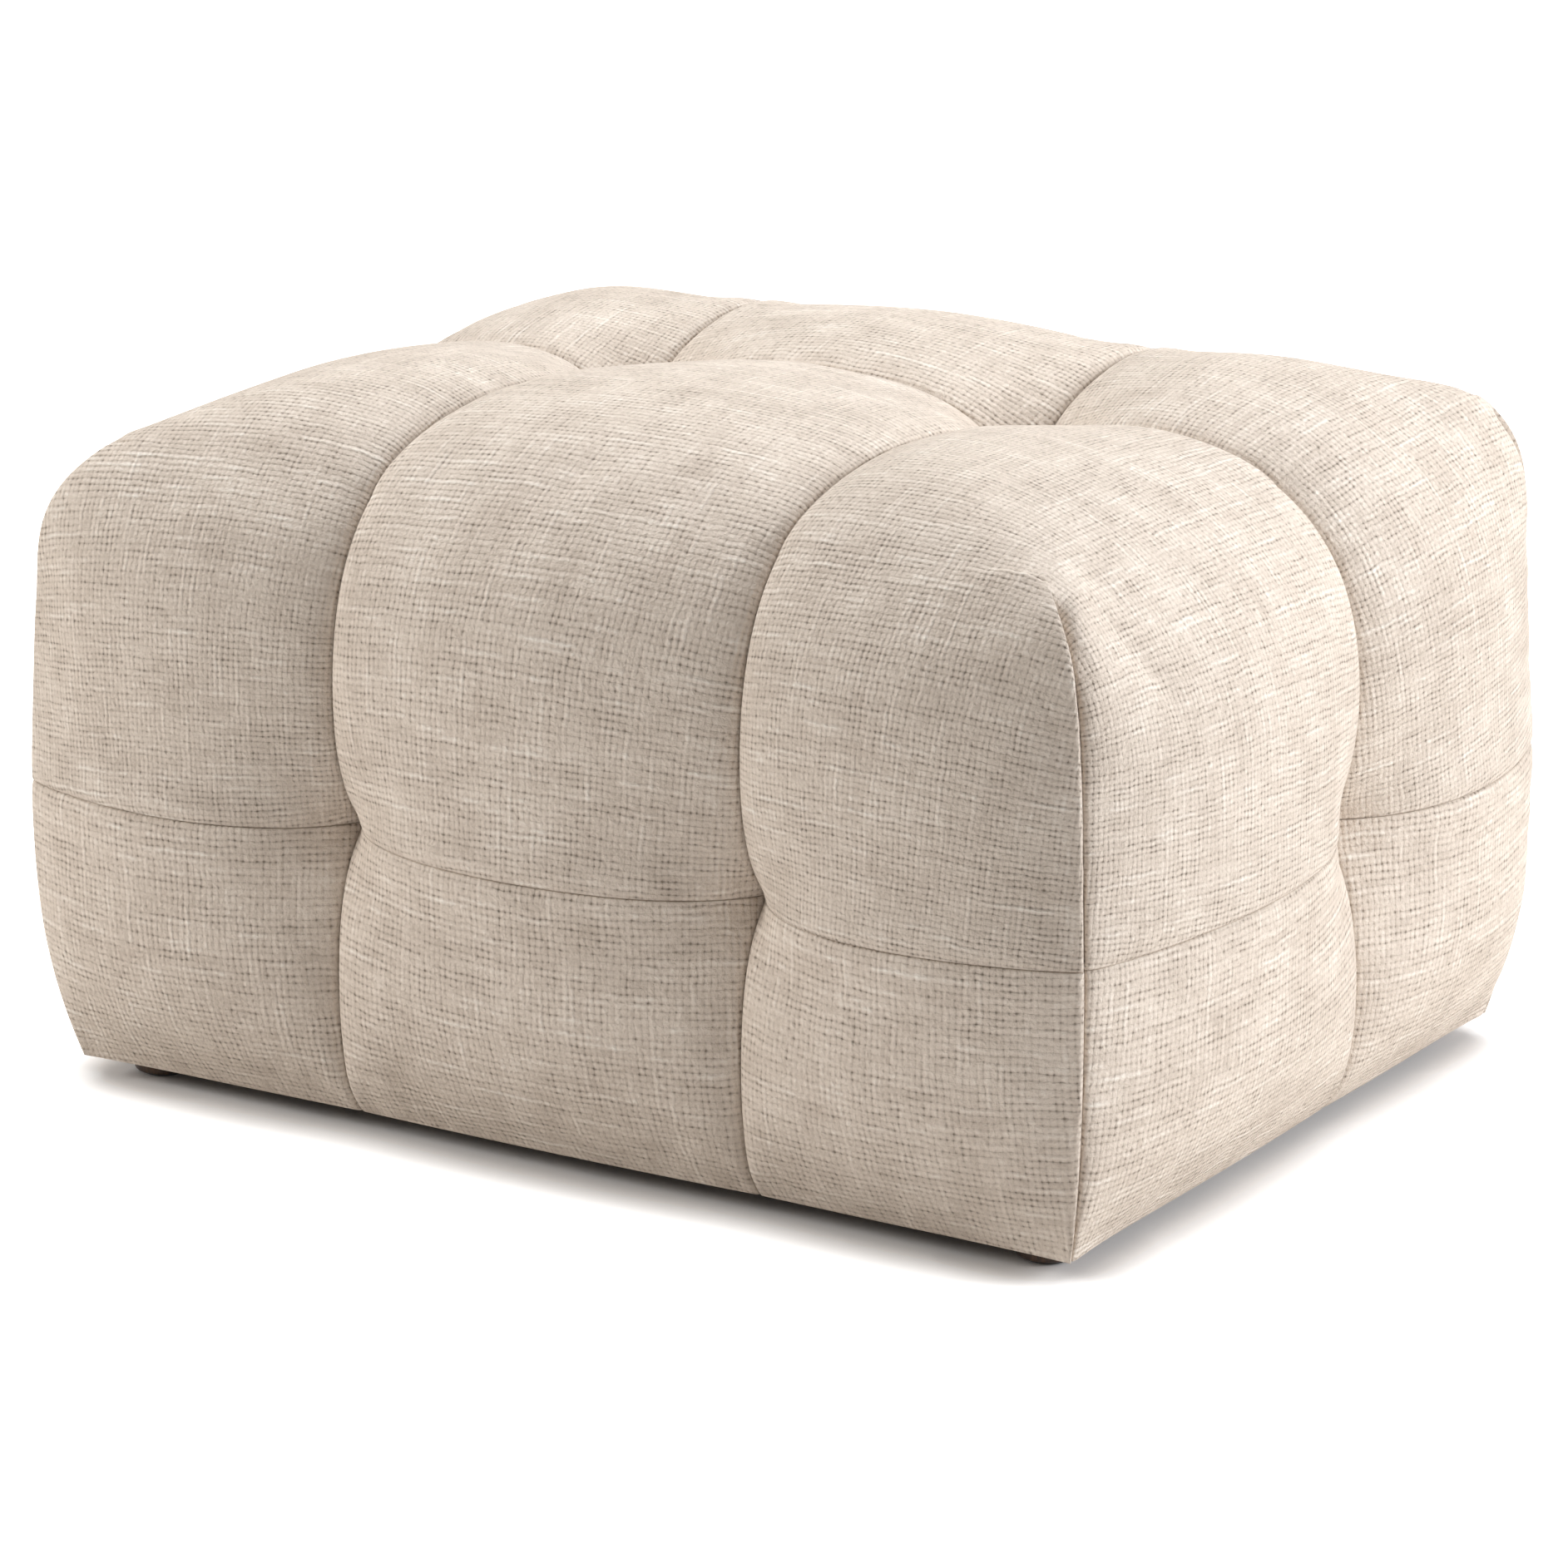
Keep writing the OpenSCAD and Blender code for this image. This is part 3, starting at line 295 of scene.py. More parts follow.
def turned_in(far, depth=ROLL):
    """How far the cloth has turned into a seam at this distance from it."""
    t = np.clip(1 - far / ROLL, 0, 1)
    return depth * (1 - np.sqrt(1 - t * t))


def turned_weave(box, face):
    """How far the slubs of a corner cell have turned, from across the pouf to front to back: on
    the short side they have, and on top they are turning."""
    x_share = (np.abs(box[:, 0]) - CROSS_SEAM) / (HALF_L - CROSS_SEAM)
    y_share = np.abs(box[:, 1] - LONG_SEAM) / (HALF_D - np.sign(box[:, 1] - LONG_SEAM) * LONG_SEAM)
    return np.choose(face, [0, 1, smooth(0.5 + (x_share - y_share) / TURN_WIDTH)])


def corner_groove(box, face):
    """Depth of the groove beside a corner seam, on the short side. At the top of a dart the spare
    cloth folds in deeper."""
    below = DART_TOP - box[:, 2]
    fold = smooth(below / FOLD_TOP) * np.exp(-np.maximum(below - FOLD_TOP, 0) / FOLD_FADE)
    depth = (GROOVE_DEPTH + FOLD_DEPTH * fold) * smooth(below / DART_TAPER)
    far = (HALF_D - np.abs(box[:, 1])) / (GROOVE_WIDTH + FOLD_WIDTH * fold)
    return np.where(face == SHORT_SIDE, depth * np.exp(-far ** 2), 0)


# %% Build the skin of each cell
PINNED = 0.0035  # cloth this near a seam is held by its stitches
START_FILL = 0.86  # a cell starts slacker than it ends, because the pressure fills it
WAIST_FILL, WAIST_REACH = 1.04, 0.022  # but at the waist seam it starts full
# Shade is painted into the colour of the cloth this near a seam.
PAINTED_SHADE_REACH = 0.0018  # the cloth in a seam is shaded this far from the stitches
SAME = 1e-6  # points closer than this are one point

skins, grooves = {}, {}
for name, (sheets, seams) in cells.items():
    bm = bmesh.new()
    box_layer = bm.verts.layers.float_vector.new("box")
    face_layer = bm.verts.layers.int.new("face")
    for sheet in sheets:
        sheet_of_box(bm, box_layer, face_layer, *sheet)
    bmesh.ops.remove_doubles(bm, verts=bm.verts, dist=SAME)
    box = np.array([v[box_layer] for v in bm.verts])
    face = np.array([v[face_layer] for v in bm.verts])
    far = np.min([np.abs(box[:, axis] - place) for axis, place in seams], axis=0)
    at_waist = np.abs(box[:, 2] - WAIST)
    sink = np.maximum(turned_in(far), turned_in(at_waist, WAIST_ROLL))
    far = np.minimum(far, at_waist)
    start = mixed(START_FILL, WAIST_FILL, np.exp(-(at_waist / WAIST_REACH) ** 2))
    turned = np.zeros(len(box))
    if name.startswith("upper") and "middle" not in name:
        corner = HALF_L + HALF_D - np.abs(box[:, :2]).sum(axis=1)  # distance to the corner seam
        dart = smooth((DART_TOP - box[:, 2]) / DART_TAPER)
        sink = np.maximum(sink, dart * turned_in(corner))
        far = np.where(dart > 0, np.minimum(far, corner), far)
        turned = turned_weave(box, face)
    laid = cover(box, face, start, sink)
    grooves[name] = cover(box, face, start, sink + corner_groove(box, face)) - laid
    # How much shade is painted into the cloth at each point: fully at the stitches, none past the
    # reach.
    painted_shade_layer = bm.verts.layers.float.new("seam_shade")
    turn_layer = bm.verts.layers.float.new("turned_weave")
    painted_shades = np.clip(1 - far / PAINTED_SHADE_REACH, 0, 1)
    for vert, *values in zip(bm.verts, laid, painted_shades, turned):
        vert.co, vert[painted_shade_layer], vert[turn_layer] = values
    held = (far < PINNED) | np.array([v.is_boundary for v in bm.verts])
    for edge in bm.edges:
        edge.seam = all(abs(v[box_layer].x) + abs(v[box_layer].y) > HALF_L + HALF_D - SAME
                        and v[box_layer].z < DART_TOP for v in edge.verts)
    skins[name] = as_object(bm, name)
    group = skins[name].vertex_groups.new(name="stitched")
    group.add([int(i) for i in np.flatnonzero(held)], 1.0, "REPLACE")
print("skin faces:", sum(len(s.data.polygons) for s in skins.values()))

# %% [markdown]
# ## Filling the cells
# Cloth simulation gives the cells the slight unevenness of real padding. The cloth is held along
# its stitches and blown out from inside for twenty frames without gravity. It is a little too
# large, so it swells instead of stretching. A cap on the motion of each point keeps the cell to
# its photographed size.

# %% Simulate the filling
PRESSURE = 4
FRAMES = 20
CAP = 0.008  # no point moves farther
LARGER = 0.005  # the cloth is this much larger each way than where it lies
STILL = 1e-9  # keeps a point that doesn't move from a division by zero


def values_of(items, what, width=3, kind=float):
    """A property of many items, as an array with one row for each."""
    flat = np.zeros(len(items) * width, kind)
    items.foreach_get(what, flat)
    return flat.reshape(-1, width)


for skin in skins.values():
    cloth = skin.modifiers.new("filling", "CLOTH")
    cloth.settings.quality = 4
    cloth.settings.use_pressure = True
    cloth.settings.uniform_pressure_force = PRESSURE
    cloth.settings.vertex_group_mass = "stitched"
    cloth.settings.shrink_min = -LARGER
    cloth.settings.effector_weights.gravity = 0
    cloth.collision_settings.use_collision = False
for number in range(1, FRAMES + 1):
    scene.frame_set(number)
swelled = []
graph = bpy.context.evaluated_depsgraph_get()
for name, skin in skins.items():
    before = values_of(skin.data.vertices, "co")
    moved = values_of(skin.evaluated_get(graph).data.vertices, "co") - before
    length = np.linalg.norm(moved, axis=1, keepdims=True)
    moved *= CAP * np.tanh(length / CAP) / np.maximum(length, STILL)
    skin.modifiers.clear()
    skin.data.vertices.foreach_set("co", (before + moved).ravel())
    swelled.append([round(float(f(length)) * 1000, 1) for f in (np.median, np.max)])
scene.frame_set(1)
print("swell of each cell, median and most, mm:", swelled)

# %% Fold the corners in
for name, skin in skins.items():
    folded = values_of(skin.data.vertices, "co") + grooves[name]
    skin.data.vertices.foreach_set("co", folded.ravel())
print("deepest corner groove, mm:", round(max(np.abs(g).max() for g in grooves.values()) * 1000, 1))

# %% [markdown]
# ## The flat cut of each cell
# The weave has to follow the cloth over shoulders and into tufts. So each cell is laid flat, as it
# was cut, with the dart as a cut in it: unwrapping keeps lengths as true as it can. The flat cut is
# turned and scaled until its threads run across the pouf and up its sides, in metres. Each cell
# gets its own place on the roll of cloth, so no thread runs on over a seam.

# %% Unwrap the cells
ON_THE_ROLL = 1.37  # metres along the roll from one cell to the next


def flatten(skin, upper, number):
    """Lays the skin flat, in metres, with u across the pouf and v up or to the back."""
    bpy.context.view_layer.objects.active = skin
    skin.select_set(True)
    bpy.ops.object.mode_set(mode="EDIT")
    bpy.ops.mesh.select_all(action="SELECT")
    bpy.ops.uv.unwrap(method="ANGLE_BASED", margin=0)
    bpy.ops.object.mode_set(mode="OBJECT")
    skin.select_set(False)
    mesh, layer = skin.data, skin.data.uv_layers.active
    layer.name = "flat_cut"
    u, v = values_of(layer.uv, "vector", 2).T
    point = values_of(mesh.loops, "vertex_index", 1, np.int32)[:, 0]
    box = values_of(mesh.attributes["box"].data, "vector")[point]
    face = values_of(mesh.attributes["face"].data, "value", 1, np.int32)[point, 0]
    main = TOP if upper else int(face[0])
    x, y, z = box[face == main].T
    aim = {TOP: x + 1j * y, FRONT_BACK: 1j * z - np.sign(y) * x,
           SHORT_SIDE: 1j * z + np.sign(x) * y}[main]
    cut = u + 1j * v
    middle, centre = cut[face == main].mean(), aim.mean()
    away = cut[face == main] - middle
    turn = (np.conj(away) * (aim - centre)).sum() / (np.abs(away) ** 2).sum()
    cut = (cut - middle) * turn + centre + ON_THE_ROLL * number
    layer.uv.foreach_set("vector", np.stack([cut.real, cut.imag], axis=1).ravel())


for number, (name, skin) in enumerate(skins.items()):
    flatten(skin, name.startswith("upper"), number)
print("cells laid flat:", len(skins))

# %% [markdown]
# ## Closing the pads
# The skin is subdivided once. Then its faces are extruded with the originals kept, and the copy is
# pressed flat against the foam and the frame inside, which closes the cell into a pad. The flat
# back needs no fine grid, so its faces are dissolved into a few large ones.

# %% Close each cell into a pad
LEDGE = 0.014  # over this height the inside steps from the lower rail to the foam
FLAT_ANGLE = math.radians(0.5)


def stretched(v, start, end, new_end):
    return start + (v - start) * (new_end - start) / (end - start)


def inside(box):
    """Where a point of the box lies on the foam and the frame behind it."""
    x, y, z = box
    step = min(max((z - BASE[2]) / LEDGE, 0), 1)
    reach_x, reach_y = (mixed(BASE[i], CORE[i], step) for i in (0, 1))
    if abs(x) > CROSS_SEAM:
        x = math.copysign(stretched(abs(x), CROSS_SEAM, HALF_L, reach_x), x)
    side = -1 if y < LONG_SEAM else 1
    y = stretched(y, LONG_SEAM, side * HALF_D, side * reach_y)
    return x, y, stretched(z, WAIST, SEAT, CORE.z) if z > WAIST else z


for name, skin in skins.items():
    finer = skin.modifiers.new("finer", "SUBSURF")
    finer.levels = finer.render_levels = 1
    finer.boundary_smooth = "PRESERVE_CORNERS"
    bpy.context.view_layer.objects.active = skin
    bpy.ops.object.modifier_apply(modifier="finer")
    bm = bmesh.new()
    bm.from_mesh(skin.data)
    box_layer = bm.verts.layers.float_vector["box"]
    made = bmesh.ops.extrude_face_region(bm, geom=bm.faces[:] + bm.edges[:] + bm.verts[:],
                                         use_keep_orig=True)
    back = {g for g in made["geom"] if isinstance(g, bmesh.types.BMVert)}
    for vert in back:
        vert.co = inside(vert[box_layer])
    bmesh.ops.recalc_face_normals(bm, faces=bm.faces)
    flat = [f for f in bm.faces if all(v in back for v in f.verts)]
    bmesh.ops.dissolve_limit(bm, angle_limit=FLAT_ANGLE,
                             verts=list({v for f in flat for v in f.verts}),
                             edges=list({e for f in flat for e in f.edges}))
    for f in bm.faces:
        f.smooth = True
    bm.to_mesh(skin.data)
    open_edges = sum(not e.is_manifold for e in bm.edges)
    print(name, "faces", len(bm.faces), "open edges", open_edges, "volume, litres",
          round(bm.calc_volume() * 1000, 2))
    bm.free()

new_pieces = []


def declare(piece, node_name, slot):
    """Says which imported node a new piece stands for, and the slot of its finish."""
    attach(piece, "root")
    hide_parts(node_name)
    new_pieces.append((piece, node_name, slot))


for name, skin in skins.items():
    declare(skin, name.replace("_", "_pad_", 1), "cover_cloth")
print("cells declared:", len(new_pieces))

# %% [markdown]
# ## The inner cushions
# A thick slab of foam fills the seat, and thinner slabs line the sides. Foam is cut with a wire, so
# a slab keeps its flat faces, and only its edges soften under the cover. So each slab starts from
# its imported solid, with the triangles of the copy merged and the long edges bevelled.

# %% Cut the foam slabs
FOAM_SLABS = ("seat_foam_block", "side_foam_front", "side_foam_back", "side_foam_left",
              "side_foam_right")
SOFT_EDGE = 0.0025
LONG_EDGE = 0.1  # only edges longer than this are softened, not those of the cord holes
SHARP = math.radians(60)


def finished(bm, name, node_name, slot, smooth_faces=True):
    """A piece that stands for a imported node, made from a bmesh."""
    for f in bm.faces:
        f.smooth = smooth_faces
    piece = as_object(bm, name)
    declare(piece, node_name, slot)
    return piece


def said(pieces):
    """The faces, lowest point and highest point of each piece, to print."""
    return {p.name: (len(p.data.polygons), *(round(end(v.co.z for v in p.data.vertices), 5)
                                             for end in (min, max))) for p in pieces}


slabs = []
for node_name in FOAM_SLABS:
    bm = bmesh.new()
    bm.from_mesh(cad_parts[node_name].data)
    bmesh.ops.remove_doubles(bm, verts=bm.verts, dist=SAME)
    bmesh.ops.dissolve_limit(bm, angle_limit=math.radians(1), verts=bm.verts, edges=bm.edges)
    long_edges = [e for e in bm.edges
                  if e.calc_length() > LONG_EDGE and e.calc_face_angle(0) > SHARP]
    bmesh.ops.bevel(bm, geom=long_edges, offset=SOFT_EDGE, segments=3, profile=0.5, affect="EDGES",
                    material=-1)
    slabs.append(finished(bm, node_name.replace("_block", "") + "_slab", node_name, "foam", False))
print("foam:", said(slabs))

# %% [markdown]
# ## Straps of webbing
# Elastic straps carry the seat: three along the pouf and five across, over and under each other,
# nailed to the upper rails at both ends. A strap is a straight strip, lifted or lowered at each
# crossing, and then given its thickness.

# %% Weave the straps
STRAP_WIDTH, STRAP_THICKNESS, STRAP_PITCH = 0.050, 0.0012, 0.095
STRAP_LEVEL = 0.2797
STRAP_LIFT = 0.0008  # a strap lies this far above or below the middle of the webbing
STRAP_FLAT, STRAP_SLOPE = 0.026, 0.012  # flat part on each side of a crossing, and the slope
STRAP_ENDS = (0.3004, 0.2084)  # half the length of a strap along the pouf, and of one across
STRAP_STEP = 0.006
UP = Vector((0, 0, 1))
strap_xs = [s * CROSS_SEAM + t * STRAP_PITCH / 2 for s, t in ((-1, -1), (-1, 1), (0, 0), (1, -1),
                                                              (1, 1))]
strap_ys = [LONG_SEAM + t * STRAP_PITCH for t in (-1.5, -0.5, 0.5)]


def strap(bm, axis, aside, crossings, first):
    """A strap along the axis, at a distance aside, that first crosses above (1) or below (-1)."""
    end = STRAP_ENDS[axis]
    stops, levels = [-end, crossings[0] - STRAP_FLAT - STRAP_SLOPE], [-1, -1]
    for number, crossing in enumerate(crossings):
        stops += [crossing - STRAP_FLAT, crossing + STRAP_FLAT]
        levels += [first * (-1) ** number] * 2
    stops += [crossings[-1] + STRAP_FLAT + STRAP_SLOPE, end]
    levels += [-1, -1]

    def place(run, beside):
        top = (STRAP_LEVEL + STRAP_LIFT * float(np.interp(run, stops, levels))
               + STRAP_THICKNESS / 2)
        return (run, beside, top) if axis == 0 else (beside, run, top)

    grid_of_lines(bm, np.linspace(-end, end, round(2 * end / STRAP_STEP) + 1),
                  aside + STRAP_WIDTH * np.array((-0.5, 0, 0.5)), place, UP)


straps = []
for node_name, axis, asides, crossings in (("webbing_lengthwise", 0, strap_ys, strap_xs),
                                           ("webbing_crosswise", 1, strap_xs, strap_ys)):
    bm = bmesh.new()
    for number, aside in enumerate(asides):
        strap(bm, axis, aside, crossings, (-1) ** (number + axis))
    bmesh.ops.solidify(bm, geom=bm.faces[:], thickness=STRAP_THICKNESS)
    bmesh.ops.recalc_face_normals(bm, faces=bm.faces)
    straps.append(finished(bm, node_name + "_straps", node_name, "webbing", False))
print("straps:", said(straps))

# %% [markdown]
# ## The two sheets
# A sheet of hessian lies flat on the straps and keeps the foam off them. Below, a black dust cover
# is stapled to the lower rails, and hangs down a little between them. Each is a grid of cloth with
# openings where the cords or bolts pass.

# %% A sheet with holes
SHEET_GRID = 0.010


def lines_past(half, holes, hole_half):
    """Grid lines from -half to half, with one on each side of every hole."""
    stops = sorted({-half, half} | {h + s * hole_half for h in holes for s in (-1, 1)})
    made = [stops[0]]
    for lo, hi in zip(stops, stops[1:]):
        made += list(np.linspace(lo, hi, max(round((hi - lo) / SHEET_GRID), 1) + 1)[1:])
    return made


def sheet_with_holes(name, node_name, slot, half, top, thickness, holes, hole_half,
                     drop=lambda x, y: 0):
    """A sheet of cloth with square holes, its top at the height given less drop(x, y)."""
    bm = bmesh.new()
    x_lines, y_lines = (lines_past(half[i], {h[i] for h in holes}, hole_half) for i in (0, 1))
    grid_of_lines(bm, x_lines, y_lines, lambda x, y: (x, y, top - drop(x, y)), UP)
    in_a_hole = [f for f in bm.faces if any(
        max(abs(c - at) for c, at in zip(f.calc_center_median(), hole)) < hole_half
        for hole in holes)]
    bmesh.ops.delete(bm, geom=in_a_hole, context="FACES")
    bmesh.ops.solidify(bm, geom=bm.faces[:], thickness=thickness)
    bmesh.ops.recalc_face_normals(bm, faces=bm.faces)
    return finished(bm, name, node_name, slot)


# %% Cut the sheets
SAG = 0.0030  # of the dust cover, in the middle between two rails
RAIL_IN_X, RAIL_IN_Y, RAIL_MIDDLE = 0.280, 0.188, 0.030  # inner edges of the rails
BOLTS = [(sx * 0.318, sy * 0.226) for sx in (-1, 1) for sy in (-1, 1)]
SEAT_CORDS = [(s * CROSS_SEAM, LONG_SEAM) for s in (-1, 1)]


def hang(x, y):
    """How far the dust cover hangs down between the rails."""
    run = min(max((abs(x) - RAIL_MIDDLE) / (RAIL_IN_X - RAIL_MIDDLE), 0), 1)
    reach = min(abs(y) / RAIL_IN_Y, 1)
    return SAG * math.sin(math.pi * run) * math.cos(math.pi / 2 * reach)


dust_sheet = sheet_with_holes("dust_cover_sheet", "dust_cover", "dust_cloth",
                              half=(0.334, 0.242), top=0.0247, thickness=0.0008, holes=BOLTS,
                              hole_half=0.0046, drop=hang)
hessian = sheet_with_holes("hessian_cloth", "hessian_sheet", "hessian",
                           half=(0.3117, 0.2197), top=0.2824, thickness=0.0010,
                           holes=SEAT_CORDS, hole_half=0.0040)
print("sheets:", said((dust_sheet, hessian)))

# %% [markdown]
# ## Tuft cords
# Waxed twine pulls each tuft in, held by a round knot behind the washer or bar. It is laid from
# three strands, which show as ridges that wind round it. So a ring with three lobes is extruded in
# short steps and turned at each step.

# %% One cord of twine
CORD_RADIUS, KNOT_RADIUS = 0.0015, 0.0036
LOBE, KNOT_LOBE = 0.13, 0.08  # depth of the grooves between strands, as a share of the radius
LAY, LAY_STEPS = 0.009, 12  # length of one turn of a strand, and steps in it
RING_POINTS = 18
KNOT_BACK, KNOT_WINDING = 0.9, 4  # the knot sits back by this share of its radius, and winds


def grooved(vert, depth, winding=0.0):
    """Draws a point in where it lies between two of the three strands."""
    angle = 3 * math.atan2(vert.co.y, vert.co.x) + winding
    vert.co *= 1 - depth * (0.5 - 0.5 * math.cos(angle))


def twine(bm, start, end):
    """A cord from its knot at start to the tuft at end."""
    start, end = Vector(start), Vector(end)
    length = (end - start).length
    ahead = (end - start) / length
    placed = Matrix.Translation(start) @ UP.rotation_difference(ahead).to_matrix().to_4x4()
    steps = round(length / LAY * LAY_STEPS)
    verts = bmesh.ops.create_circle(bm, cap_ends=True, segments=RING_POINTS,
                                    radius=CORD_RADIUS)["verts"]
    for vert in verts:
        grooved(vert, LOBE)
    bmesh.ops.transform(bm, matrix=placed, verts=verts)
    face = next(f for f in verts[0].link_faces if len(f.verts) == RING_POINTS)
    onward = (Matrix.Translation(start + ahead * length / steps)
              @ Matrix.Rotation(2 * math.pi / LAY_STEPS, 4, ahead)
              @ Matrix.Translation(-start))
    for _ in range(steps):
        out = bmesh.ops.extrude_face_region(bm, geom=[face, *face.edges, *face.verts])
        face = next(g for g in out["geom"] if isinstance(g, bmesh.types.BMFace))
        bmesh.ops.transform(bm, matrix=onward, verts=face.verts)
    knot = bmesh.ops.create_uvsphere(bm, u_segments=20, v_segments=14, radius=KNOT_RADIUS)["verts"]
    for vert in knot:
        grooved(vert, KNOT_LOBE, KNOT_WINDING * vert.co.z / KNOT_RADIUS)
    behind = Matrix.Translation(-ahead * KNOT_RADIUS * KNOT_BACK)
    bmesh.ops.transform(bm, matrix=behind @ placed, verts=knot)


# %% Lay the twine
# From the middle plane or the floor, where each kind of cord has its knot and its tuft.
SIDE_Y, SIDE_X, SEAT_Z = (0.2141, 0.240), (0.3061, 0.332), (0.2737, 0.363)
TUFTS = {
    "side_tuft_cords": [[(sx * CROSS_SEAM, sy * y, WAIST) for y in SIDE_Y]
                        for sx in (-1, 1) for sy in (-1, 1)]
    + [[(sx * x, LONG_SEAM, WAIST) for x in SIDE_X] for sx in (-1, 1)],
    "seat_tuft_cords": [[(*place, z) for z in SEAT_Z] for place in SEAT_CORDS]}
for node_name, ends in TUFTS.items():
    bm = bmesh.new()
    for start, end in ends:
        twine(bm, start, end)
    bmesh.ops.recalc_face_normals(bm, faces=bm.faces)
    open_edges = sum(not e.is_manifold for e in bm.edges)
    piece = finished(bm, node_name.replace("cords", "twine"), node_name, "twine")
    print("twine:", said((piece,)), "open edges", open_edges)

# %% [markdown]
# ## Finishes
# Each material starts from what the real one is. Colours are sRGB hex values, which one function
# turns to linear light, and one small function adds a node with its settings and links. A finish
# is a function that adds its pattern. It gives back what picks a colour and those colours, what
# roughens the surface and by how much, its bumps, and other inputs of the shader. The scale of a
# noise is the number of its grains in a metre, so 750 makes them 1.3 mm wide.

# %% Add a node
def linear(hex_colour):
    parts = [int(hex_colour[i:i + 2], 16) / 255 for i in (1, 3, 5)]
    return [c / 12.92 if c <= 0.04045 else ((c + 0.055) / 1.055) ** 2.4 for c in parts] + [1]


def add_node(tree, kind, inputs=None, stops=(), **settings):
    """Adds a node. An input is a value, or another node or socket to link. The stops of a colour
    ramp are (place, hex colour)."""
    node = tree.nodes.new("ShaderNode" + kind)
    for key, value in settings.items():
        setattr(node, key, value)
    for key, value in (inputs or {}).items():
        if isinstance(value, bpy.types.Node):
            value = value.outputs[0]
        if isinstance(value, bpy.types.NodeSocket):
            tree.links.new(value, node.inputs[key])
        else:
            node.inputs[key].default_value = value
    for _ in stops[2:]:
        node.color_ramp.elements.new(0.5)
    for number, (place, hex_colour) in enumerate(stops):
        element = node.color_ramp.elements[number]
        element.position, element.color = place, linear(hex_colour)
    return node


def emptied(owner):
    """Empties the tree of a material or world. What comes back adds a node to it."""
    owner.use_nodes = True
    owner.node_tree.nodes.clear()
    return functools.partial(add_node, owner.node_tree)


# %% Make a finish from its pattern
def make_finish(pattern, name, *options, cloth=None):
    """A material. Its pattern is drawn on the flat cut of a cloth, or else on the place in the
    pouf, and gives tone and stops, grain and the roughness it gives, height, strength and depth of
    bumps, and other inputs."""
    material = bpy.data.materials.new(name)
    add = emptied(material)
    where = add("UVMap", uv_map=cloth) if cloth else add("TexCoord").outputs["Object"]
    given = pattern(add, where, *options)
    (tone, *stops), (grain, *rough), (height, strength, depth), inputs = given
    inputs["Base Color"] = add("ValToRGB", {"Fac": tone}, stops)
    if rough:
        grain = add("MapRange", {"Value": grain, "To Min": rough[0], "To Max": rough[1]})
    inputs["Roughness"] = grain
    inputs["Normal"] = add("Bump", {"Height": height, "Strength": strength, "Distance": depth})
    # On a cloth, shade is painted into the colour deep in a seam: near the stitches it is mixed
    # towards dark brown.
    if cloth:
        painted_shade_near_seam = add("Attribute", attribute_name="seam_shade").outputs["Fac"]
        inputs["Base Color"] = add("MixRGB", {"Fac": product(add, painted_shade_near_seam, PAINTED_SEAM_SHADE),
                                              "Color1": inputs["Base Color"],
                                              "Color2": linear("#4a3f35")})
    add("OutputMaterial", {"Surface": add("BsdfPrincipled", inputs)})
    return material


def summed(add, start, *parts):
    """The start value plus each part times its weight."""
    for part, weight in parts:
        start = add("Math", {0: part, 1: weight, 2: start}, operation="MULTIPLY_ADD")
    return start


def product(add, first, *others):
    for other in others:
        first = add("Math", {0: first, 1: other}, operation="MULTIPLY")
    return first


# %% [markdown]
# ## Slub chenille
# The cover is woven from thick, soft yarns that are uneven on purpose, 4 mm apart across and 4.3 mm
# upwards. Up close the eye sees dark dashes between the rows, dark dots where the yarns cross, thin
# light slubs, fainter upright yarns, and pile that lies now one way and now another in cloudy
# patches. The dashes and dots are partly the darker ground between the yarns and partly painted
# shade in the gaps. All of it is drawn on the flat cut, so it follows the cloth.

# %% Make the chenille
WARP, WEFT = 0.0040, 0.0043  # distance between neighbouring yarns, upright and across
FAINT = 0.58  # how plain the fainter yarns are beside the thick ones
DRIFT, SHAKE = (0.0050, 0.0055, 0), (0.0034, 0.0028, 0)  # how far the yarns wander
SLUB_REACH, ROW_REACH = 0.048, 0.036  # along a yarn or a gap, how soon it changes
CLOUDS, FUZZ = 0.50, 0.53  # how plain the lie of the pile and its short fibres are
# How strongly shade is painted into the cloth at a seam.
PAINTED_SEAM_SHADE = 0.14


